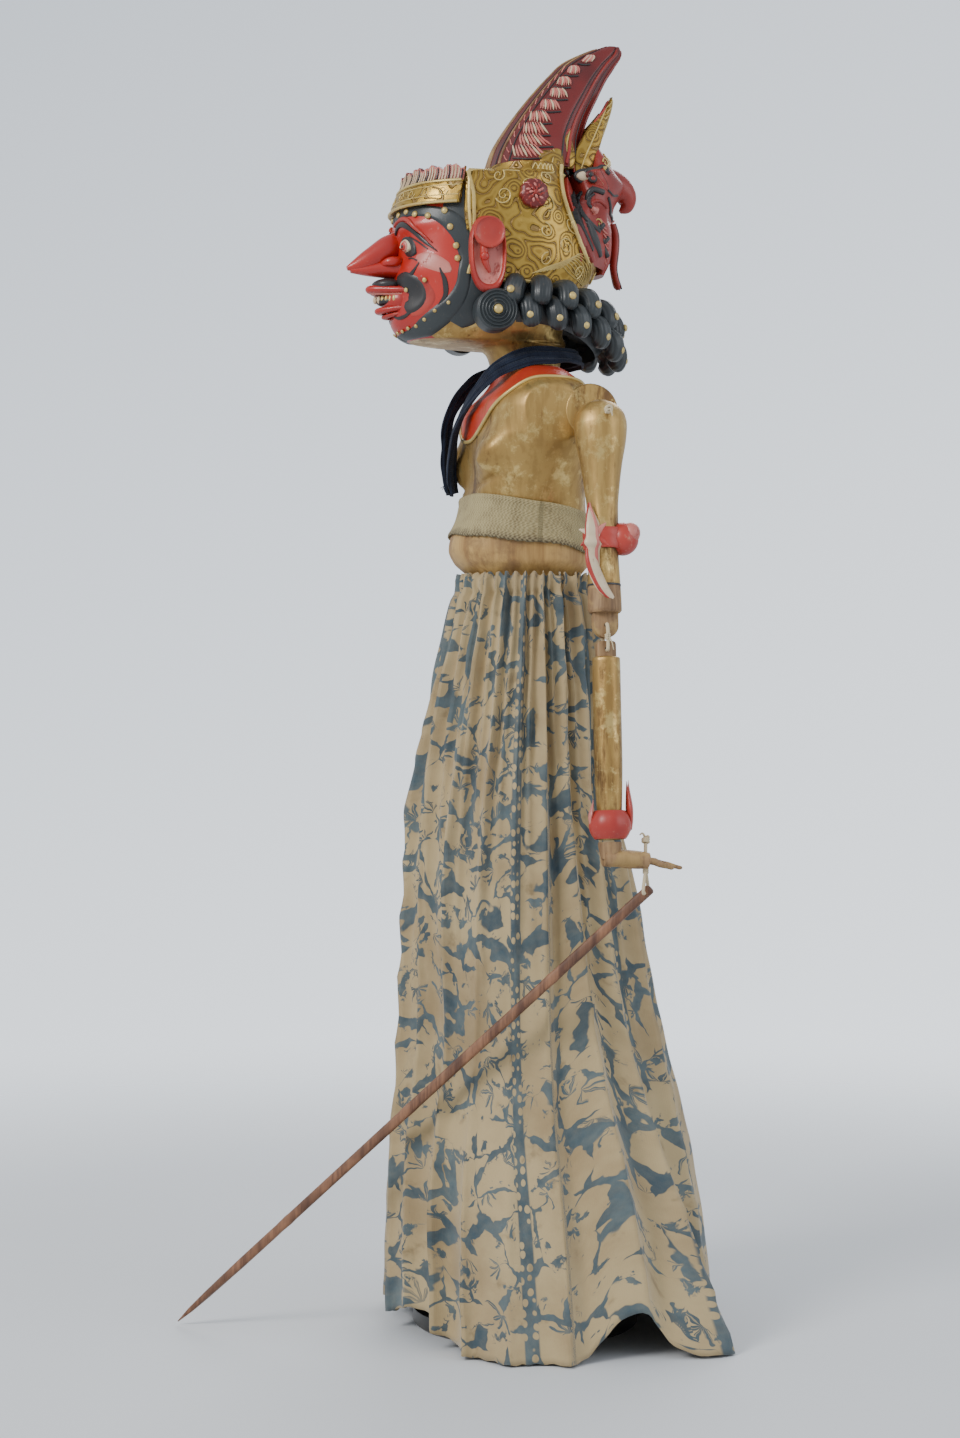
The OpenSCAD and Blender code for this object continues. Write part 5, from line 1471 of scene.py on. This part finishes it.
crest = Piece("crest_carved")
h, a = np.meshgrid(np.linspace(97.4, 163.4, 110), np.arange(0, 360, 2.5), indexing="ij")
crest.grid(crest_at(a, h), crest_red)
for side in (-1, 1):
    for p, tint, rib in ((6, bare_wood, 1.0), (24, ink, 0.4), (31, bare_wood, 0.8), (47, ink, 0.45), (112, ink, 0.5),
                         (124, mask_red, 1.0), (138, ink, 0.45), (160, mask_red, 0.9)):
        rib_line(crest, crest_at, [(side * p, q) for q in np.linspace(98.5, 161.5, 14)],
                 rib * np.linspace(1, 0.4, 60), tint, 0.0, 60)
    # striped feathers: overlapping tufts of fine pale lines that climb the middle of the side
    for row in range(9):
        base = 101 + row * 6.6
        mid = 74 + 3.5 * math.sin(row * 1.7)
        size = 1 - 0.055 * row
        for k in range(8):
            spread = (k - 3.5) * 5.4 * size
            lean = -9 - 1.2 * k
            path = [(side * (mid + spread + lean), base + 6.8 * size), (side * (mid + spread + lean * 0.4), base + 2.6),
                    (side * (mid + spread), base - 0.6 + 0.25 * abs(k - 3.5))]
            rib_line(crest, crest_at, path, 0.62 * np.sin(np.linspace(0.35, 2.9, 14)),
                     cream if (k + row) % 3 == 0 else rose, 0.35, 14)
        tuft = [(side * (mid + v), base - 1.2 - 0.5 * math.cos(v * 0.12))
                for v in np.linspace(-22 * size, 22 * size, 9)]
        rib_line(crest, crest_at, tuft, 0.45, ink, 0.2, 30)
    for k in range(12):
        h0 = 99.5 + k * 4.4
        rib_line(crest, crest_at, [(side * 36, h0 + 3.4), (side * 40, h0 + 1.4), (side * 44, h0)], 0.3, rose, 0.2, 8)
crest.make(["crest"], "head", "crest_red", 50)

# %% [markdown]
# ### The rear mask
# A bird's face looks backward from the crown: a round eye, a hooked beak over a pale tongue, and
# a gold border. It is built the same way as the head, from sections and ribbons.

# %% Rear mask
MASK = np.array(
    [
        [47, 35, 40, 8, 37.5], [54, 34, 43, 13, 38], [64, 29, 44, 18, 35], [72, 24.5, 44, 22, 30], [80, 21, 45, 25, 28],
        [86, 19, 48, 25, 28], [92, 18.5, 51, 23, 28], [96, 19, 48, 22, 29], [98, 28.5, 46, 19, 34],
     [104, 29, 42, 16, 35],
        [110, 30, 38, 11, 34],
    ], float,
)


def mask_at(phi, h, grow=0.0):
    """A point on the mask; phi is the angle from the back toward the puppet's left."""
    phi, h = np.broadcast_arrays(np.asarray(phi, float), np.asarray(h, float))
    turn = np.abs(around(phi, 0))
    push = -1.5 * bell(h, 91, 4.5) * bell(turn, 90, 14) + 1.0 * bell(h, 97, 2.5) * bell(turn, 84, 26) \
        + 1.2 * bell(h, 80, 5) * bell(turn, 62, 14) - 1.5 * bell(h, 74, 3) * bell(turn, 34, 16)
    x, y = section(smooth(MASK, h), 90 - phi, grow + push, 1.8)
    return np.stack([x, y, h + NECK], -1)


def cheek_at(u, h, grow=0.0):
    """From the cap (u = 0) to the mask (u = 12); a minus sign on u is the puppet's right."""
    u, h = np.broadcast_arrays(np.asarray(u, float), np.asarray(h, float))
    side, share = np.where(u < 0, -1, 1), (np.abs(u) / 12)[..., None]
    cap_side, mask_side = side_at(side * 19.5, h, 0.3), mask_at(side * 84, h, 0.2)
    out = np.stack([side * (grow + 1.6 * np.sin(np.pi * share[..., 0])), 0 * h, 0 * h], -1)
    return cap_side + (mask_side - cap_side) * share + out


mask = Piece("rear_mask_carved")
h, a = np.meshgrid(np.linspace(47.2, 109.8, 100), np.arange(360, 0, -2.5), indexing="ij")
mask.grid(mask_at(a, h), mask_red)
beak = spline([(0, 30, 90), (0, 39, 93.5), (0, 47, 92.6), (0, 52.2, 88.6), (0, 52.6, 83.6), (0, 49.4, 80.6)],
              40) + [0, 0, NECK]
mask.grid(tube(beak, smooth(np.array([[0, 12], [0.3, 9.0], [0.6, 5.8], [0.85, 3.2], [1, 1.0]]),
                            np.linspace(0, 1, 40))[:, 0], 22, 0.85,
               hint=(1, 0, 0)), mask_red)
tongue = spline([(0, 36, 73), (0, 42, 73.4), (0, 46.2, 76)], 20) + [0, 0, NECK]
mask.grid(tube(tongue, np.linspace(5.2, 1.2, 20), 16, 0.42, hint=(0, -0.3, 1)), rose)

for side in (-1, 1):
    # gold border, with little scrolls
    # the red cheek that joins the cap to the mask, with the eye and the snout's lines
    h, u = np.meshgrid(np.linspace(49, 97.5, 70), np.linspace(0.01, 12, 16) * side, indexing="ij")
    mask.grid(cheek_at(u, h), mask_red, wrap=False, flip=side > 0)
    for path, wide, tint, lift, crown in (
        ([(2.0, 94.0), (5.5, 96.2), (9, 94.5), (12, 91)], [[0, 1.0], [0.5, 3.6], [1, 1.6]], ink, 0.3, 0.5),
        ([(2.6, 94.4), (6, 95.2), (9, 93), (11.6, 90.5)], [[0, 0.5], [0.5, 2.1], [1, 0.9]], cream, 0.8, 0.8),
        ([(11.5, 87.5), (6, 86), (2.0, 81), (3.0, 74), (7, 69), (11, 66)], [[0, 0.7], [0.4, 1.5], [1, 1.0]], ink, 0.4,
         0.4),
        ([(11.5, 84), (8.5, 81.5), (8, 78), (11.5, 76)], [[0, 0.5], [0.5, 1.0], [1, 0.5]], ink, 0.4, 0.4),
        ([(9, 76.6), (11, 76), (12, 75.6)], [[0, 1.0], [1, 2.4]], rose, 0.9, 1.2),
        ([(5, 70), (7, 62), (9, 54)], [[0, 1.4], [0.5, 3.0], [1, 1.2]], ink, 0.4, 0.5),
    ):
        ribbon(mask, cheek_at, [(side * b, q) for b, q in path], np.array(wide, float), tint, lift, crown, 50)
    for u, q, lift, size, tint in ((8.2, 93.4, 3.2, (1.6, 6.6, 4.0), ink), (8.2, 93.2, 4.2, (1.5, 5.2, 2.6), cream),
                                   (9.2, 93.5, 5.2, (1.1, 2.2, 2.1), crest_red),
                                   (9.3, 93.5, 5.9, (0.8, 1.1, 1.1), ink)):
        mask.grid(ball(cheek_at(np.array([side * u]), np.array([q]), lift)[0], size, 14, 24), tint)
    rib_line(mask, mask_at, [(side * 20, 106.5), (side * 40, 104), (side * 60, 100.5), (side * 80, 97.5)], 1.3,
             gold_dot, -0.1, 40)
    for p, q, r, turns in ((72, 101.5, 2.6, 1.3), (50, 105, 2.4, 1.2), (80, 70, 2.4, 1.2)):
        spiral(mask, mask_at, side * p, q, r, turns, 0.45, gold_dot, side)
    # eye
    look = Piece("eye")
    for path, width, tint, lift in (
        ([(112, 90), (101, 93.2), (86, 93.2), (72, 90.2), (62, 87)], [[0, 0.8], [0.5, 4.3], [1, 0.8]], ink, 0.4),
        ([(107, 90.4), (97, 92.2), (84, 91.6), (71, 89)], [[0, 0.5], [0.5, 3.0], [1, 0.5]], cream, 0.9),
    ):
        ribbon(look, mask_at, [(side * a, b) for a, b in path], np.array(width), tint, lift, 0.8, 40)
    if side > 0:
        look.faces = [f[::-1] for f in look.faces]
    mask.points += look.points
    mask.uv += look.uv
    base = mask.count
    split_at = len(look.faces) // 2
    mask.faces_of([[i + base for i in f] for f in look.faces[:split_at]], ink, 0)
    mask.faces_of([[i + base for i in f] for f in look.faces[split_at:]], cream, look.count)
    centre = mask_at(side * 88, 91.6, 1.6)
    n = np.array([side * 0.97, 0.2, 0.1])
    mask.grid(ball(centre, (2.1, 2.6, 1.1), 10, 18, n), ink)
    mask.grid(ball(centre + 0.6 * n, (1.2, 1.5, 0.8), 8, 14, n), mask_red)
    # painted lines: mouth, cheek folds and curls of the beard
    for path, rib, tint in (
        ([(8, 75.5), (26, 76.5), (42, 77), (52, 80), (60, 83)], 0.9, ink),
        ([(70, 85), (90, 86), (106, 83), (112, 77), (104, 70.5), (88, 68), (70, 70)], 1.5, ink),
        ([(60, 78), (76, 80.5), (90, 79.5), (97, 76), (90, 72.6)], 0.9, mask_red),
        ([(116, 72), (104, 65), (88, 62), (66, 64)], 1.3, ink),
        ([(112, 64), (98, 58), (80, 55.5)], 1.6, ink),
        ([(60, 95.5), (80, 98.5), (100, 98), (116, 93)], 1.2, ink),
        ([(34, 86), (48, 85), (62, 86.5)], 0.6, ink),
    ):
        rib_line(mask, mask_at, [(side * a, b) for a, b in path], rib, tint, 0.05, 40)
    for k in range(9):
        q = 52 + k * 2.3
        rib_line(mask, mask_at, [(side * (92 - 2 * k), q + 2.2), (side * (86 - 2 * k), q + 0.6),
                                 (side * (79 - 2 * k), q)], 0.42, rose, 0.25, 10)
    # gold flames beside the brow, and a lobe of scrolls in front of the mask
    for way, wide, slim in (
        ([(15, 24, 96), (13.5, 27, 104), (10.5, 31.5, 113), (7.5, 36, 122), (5, 40.5, 131)],
         [[0, 3.0], [0.25, 5.6], [0.6, 4.6], [1, 0.5]], 0.35),
        ([(19, 17, 97), (17.5, 16.5, 104), (15, 17.5, 111), (12.5, 20, 118)],
         [[0, 3.2], [0.3, 4.8], [0.7, 3.0], [1, 0.4]], 0.35),
        ([(26.5, 6, 92), (24.5, 7, 98), (21, 9, 103.5), (19.5, 8.5, 107)],
         [[0, 4.5], [0.35, 7.0], [0.75, 4.6], [1, 0.8]], 0.4),
    ):
        way = spline([(side * x, y, z) for x, y, z in way], 36) + [0, 0, NECK]
        wide = smooth(np.array(wide), np.linspace(0, 1, 36))[:, 0]
        mask.grid(tube(way, wide, 22, slim, hint=(1, 0, 0)), carved_gold)
        mask.grid(tube(way + np.stack([side * 0.6 + 0 * wide, -wide * 0.93, 0 * wide], 1), 0.55 + 0 * wide, 8,
                       hint=(1, 0, 0)), coral)
        mask.grid(tube(way + np.stack([side * (wide * slim + 0.1), 0 * wide, 0 * wide], 1), 0.4, 7, hint=(1, 0, 0)),
                  gold_dot)
    mask.grid(ball((side * 4.6, 48.6, NECK + 91.6), (0.9, 1.5, 0.9), 7, 10), ink)
mask.make(["rear_mask"], "head", "crest_red", 55)

# %% Gold leaf above the mask, and the ribbon that hangs below it
HORNS = np.array([[108, 30, 36, 9, 33], [115, 32.5, 39, 8, 35], [125, 36.5, 42.5, 6, 39.5], [133, 41, 44.8, 3.5, 43],
                  [138, 43.8, 45.6, 1.2, 44.7]], float)


def horn_at(phi, h, grow=0.0):
    phi, h = np.broadcast_arrays(np.asarray(phi, float), np.asarray(h, float))
    x, y = section(smooth(HORNS, h), phi, grow + 0.4 * np.cos(np.radians(phi * 2)), 1.8)
    return np.stack([x, y, h + NECK], -1)


horn = Piece("mask_horns_carved")
h, a = np.meshgrid(np.linspace(108, 138, 60), np.arange(0, 360, 6), indexing="ij")
horn.grid(horn_at(a, h), carved_gold)
for side in (0, 180):
    hand = 1 if side == 0 else -1
    rib_line(horn, horn_at, [(side - hand * 62, q) for q in np.linspace(108.5, 136, 10)], 0.7, coral, 0.0, 50)
    rib_line(horn, horn_at, [(side + hand * 50, q) for q in np.linspace(108.5, 136, 10)], 0.5, gold_dot, 0.0, 50)
    for k in range(6):
        q = 110 + k * 4.2
        rib_line(horn, horn_at, [(side - hand * 48, q), (side - hand * 8, q + 2.6), (side + hand * 30, q + 5.4)],
                 0.32, gold_dot, 0.1, 14)
horn.make(["mask_horns"], "head", "carved_gold", 45)

ribbon_piece = Piece("back_ribbon_carved")
way = spline([(0, 45.2, 74), (0, 46.6, 68), (0, 46.4, 60), (0, 46.0, 52), (0, 47.2, 45.5), (0, 48.8, 41.6)], 50) + [0,
    0, NECK]
width = smooth(np.array([[0, 3.4], [0.3, 3.9], [0.7, 3.0], [0.9, 3.2], [1, 2.0]]), np.linspace(0, 1, 50))[:, 0]
ribbon_piece.grid(tube(way, width, 20, 0.62, hint=(0, 1, 0)), mask_red)
for side in (-1, 1):
    ribbon_piece.grid(tube(way + np.stack([side * width * 0.8, 0.9 + 0 * width, 0 * width], 1), 0.45, 7,
                           hint=(0, 1, 0)), ink)
ribbon_piece.make(["back_ribbon"], "head", "ribbon_red", 50)

# %% [markdown]
# ### Hair
# The hair at the nape is carved as fat locks in two rows. Each lock is a swept tube whose surface
# carries fine grooves along its length, and ends in a gold stud.


# %% Locks of hair
def lock(piece, points, radius, studs=(), grooves=11, count=34, sides=66, flat=1.0, hint=(0, 0, 1)):
    way = spline(points, count)
    t = np.linspace(0, 1, count)
    body = tube(way, 1.0, sides, flat, hint)
    a = np.linspace(0, 2 * np.pi, sides, endpoint=False)
    groove = 1 - 0.055 * (1 - np.abs(np.sin(a * grooves / 2))) ** 1.5
    r = smooth(np.array(radius, float), t)[:, 0][:, None] * groove[None, :]
    piece.grid(way[:, None] + (body - way[:, None]) * r[..., None], charcoal)
    for place, size, n in studs:
        piece.grid(ball(place, (size, size, size * 0.6), 9, 16, n), gold_dot)


nape = Piece("nape_curls_carved")


def nape_at(a):
    rear = bell(around(a, 90), 0, 58)
    return np.array([39.5 * math.cos(math.radians(a)), 4 + 37 * math.sin(math.radians(a)) - 6 * (1 - rear),
                     NECK + 27.5 - 13.5 * rear])


for k in range(13):
    a = -21 + k * 18.5
    c = nape_at(a)
    out = np.array([math.cos(math.radians(a)), math.sin(math.radians(a)), 0])
    aside = np.array([-out[1], out[0], 0])
    # upper row: a lock that comes from under the cap and rolls outward
    upper = [c - out * 5 + [0, 0, 9.5], c + out * 1.5 + aside * 1.2 + [0, 0, 8.2],
             c + out * 4.2 + aside * 0.5 + [0, 0, 3.6], c + out * 3.0 + [0, 0, -0.5]]
    stud = (c + out * 9.6 + [0, 0, 4.6], 1.9, out + [0, 0, 0.1])
    lock(nape, upper, [[0, 4.4], [0.4, 5.4], [0.75, 5.3], [1, 3.8]], (stud,) if k % 2 == 0 or 2 < k < 10 else (),
         hint=aside)
    # lower row, half a step along
    c = nape_at(a + 9.2) if k < 12 else nape_at(a)
    hang_out = 3.2 * bell(around(a + 9.2, 90), 0, 46)
    c = c + out * hang_out - [0, 0, hang_out * 0.9]
    lower_row = [c - out * 3 + [0, 0, 2.0], c + out * 1.6 + aside * 2 + [0, 0, -2.2],
                 c + out * 1.8 + aside * 3 + [0, 0, -7.4], c - out * 1.2 + aside * 3 + [0, 0, -10.2]]
    stud = (c + out * 6.6 + aside * 3 + [0, 0, -7.0], 1.8, out + [0, 0, -0.2])
    lock(nape, lower_row, [[0, 4.2], [0.35, 5.4], [0.75, 5.0], [1, 2.6]], (stud,), hint=aside)
nape.grid(np.array([[nape_at(a) * [r, r, 1] + [0, 0, q] for a in np.linspace(-20, 200, 50)] for r,
                    q in ((0.84, 9), (0.97, 4), (0.97, -4), (0.86, -9))]),
          charcoal, wrap=False, flip=True)
nape.make(["nape_curls"], "head", "curl_black", 60)

# %% Ears, studs, side curls and rosettes
for side, word in ((1, "left"), (-1, "right")):
    curl = Piece(word + "_side_curl_carved")
    r = np.concatenate([np.linspace(10.2, 10.2, 2), np.linspace(10.0, 0.4, 60)])
    h = np.concatenate([[-5.5, 4.4], 5.2 - 0.42 * np.cos(np.linspace(0, 6 * 2 * np.pi, 60)) + 0.5
                        * (1 - (np.linspace(10, 0.4, 60) / 10) ** 2)])
    curl.grid(lathe(np.stack([r, h], 1), (39.5, -24.5, NECK + 22), (1, 0, 0), 60), charcoal)
    curl.grid(ball((45.6, -24.5, NECK + 22), (2.3, 2.3, 1.5), 10, 20, (1, 0, 0)), gold_dot)
    curl.mirrored(side).make([word + "_side_curl"], "head", "curl_black", 60)

    ear = Piece(word + "_ear_carved")
    t = np.linspace(0, 2 * np.pi, 72, endpoint=False)
    square = lambda v: np.sign(v) * np.abs(v) ** 0.8
    half = 8.9 + 0.7 * np.sin(t)
    outline = np.stack([0 * t, -28.4 - 0.4 * np.sin(t) - square(np.cos(t)) * half,
                        NECK + 48.9 + square(np.sin(t)) * 18.3], 1)
    centre = outline.mean(0)
    rings = []
    for x, s in ((36.0, 0.97), (38.0, 1.0), (41.0, 1.01), (42.4, 0.97), (42.8, 0.91), (42.3, 0.84), (41.0, 0.79),
                 (40.3, 0.7), (40.1, 0.45), (40.5, 0.15)):
        ring_points = centre + (outline - centre) * s
        ring_points[:, 0] = x
        rings.append(ring_points)
    rings = np.array(rings)
    ear.grid(rings[:7], coral, caps=(True, False), flip=True)
    ear.grid(rings[6:], rose, caps=(False, True), flip=True)
    fold = spline([(41.4, -31.0, 62), (42.2, -30.8, 54), (41.8, -30.4, 46), (41.0, -27.6, 40)], 30) + [0, 0, NECK]
    ear.grid(tube(fold, 1.7 * np.sin(np.linspace(0.3, 2.9, 30)) + 0.3, 12, hint=(1, 0, 0)), coral)
    ear.grid(ball((42.6, -30.6, NECK + 47.5), (2.1, 2.3, 2.4), 12, 18), face_red)
    ear.grid(ball((43.6, -30.8, NECK + 48.0), (1.3, 1.5, 1.5), 10, 14), coral)
    ear.mirrored(side).make([word + "_ear"], "head", "ear_coral", 50)

    stud = Piece(word + "_ear_stud_turned")
    profile = [(7.4, 0), (7.75, 0.4), (7.8, 1.5), (7.5, 2.3), (6.9, 2.5), (6.4, 2.1), (5.2, 1.75), (3.4, 1.65),
               (1.6, 1.75), (0.3, 1.85)]
    stud.grid(lathe(profile, (43, -28.6, NECK + 59.0), (1, 0, 0), 56, lambda a, v: 1 + 0.008 * np.cos(3 * a)), coral)
    stud.mirrored(side).make([word + "_ear_stud"], "head", "ear_coral", 45)

    rosette = Piece(word + "_rosette_carved")
    place = np.array([39.6, -6, NECK + 79])
    rosette.grid(lathe([(6.7, 0), (7.0, 0.8), (7.0, 3.4), (6.2, 4.6), (4.2, 5.2), (0.4, 5.4)], place, (1, 0, 0), 60,
                       lambda a, v: 1 + 0.035 * np.cos(9 * a)), crest_red)
    for ring_r, petals, lift in ((5.6, 15, 4.4), (3.9, 11, 5.2), (2.2, 7, 5.8)):
        for k in range(petals):
            a = 2 * np.pi * k / petals + ring_r
            mid = place + [lift, ring_r * math.cos(a), ring_r * math.sin(a)]
            tip = place + [lift - 0.9, (ring_r + 1.35) * math.cos(a + 0.16), (ring_r + 1.35) * math.sin(a + 0.16)]
            inner_end = place + [lift + 0.2, (ring_r - 1.2) * math.cos(a - 0.1), (ring_r - 1.2) * math.sin(a - 0.1)]
            rosette.grid(tube(spline([inner_end, mid, tip], 9), 0.62 * np.sin(np.linspace(0.4, 2.8, 9)), 7, 0.7,
                              hint=(1, 0, 0)),
                         rose if k % 2 else mask_red)
    rosette.grid(ball(place + [6.0, 0, 0], (1.3, 1.3, 0.8), 8, 14, (1, 0, 0)), mask_red)
    rosette.mirrored(side).make([word + "_rosette"], "head", "ear_coral", 50)

# %% [markdown]
# ## Stand, central rod and floor
# These two pieces keep the frame's own shape, which is right already, and only take a finish. The
# floor belongs to the view, not to the puppet.

# %% Kept pieces
for node, finish in (("display_stand", lacquer), ("central_rod", rod_wood)):
    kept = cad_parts[node]
    kept.data.materials.clear()
    kept.data.materials.append(finish)
    for k in range(len(kept.material_slots)):
        kept.material_slots[k].material = finish


def build_floor(g):
    """Pale grey ground that fades out with distance from the stand."""
    at = g.object_vector()
    away = g.node("ShaderNodeVectorMath", {"operation": "LENGTH"}, i0=at).outputs["Value"]
    tone = g.mix(g.noise(at, 3, 3, 0.5), (0.60, 0.62, 0.65), (0.66, 0.68, 0.70))
    return {"Color": tone, "Alpha": g.math("SUBTRACT", 1.0, g.ramp(away, 0.35, 1.15))}


floor_mesh = bpy.data.meshes.new("floor")
floor_mesh.from_pydata([(-2, -2, -0.0002), (2, -2, -0.0002), (2, 2, -0.0002), (-2, 2, -0.0002)], [], [(0, 1, 2, 3)])
floor_mesh.materials.append(material("pale_floor", build_floor, roughness=0.75))
floor = bpy.data.objects.new("floor", floor_mesh)
bpy.context.scene.collection.objects.link(floor)
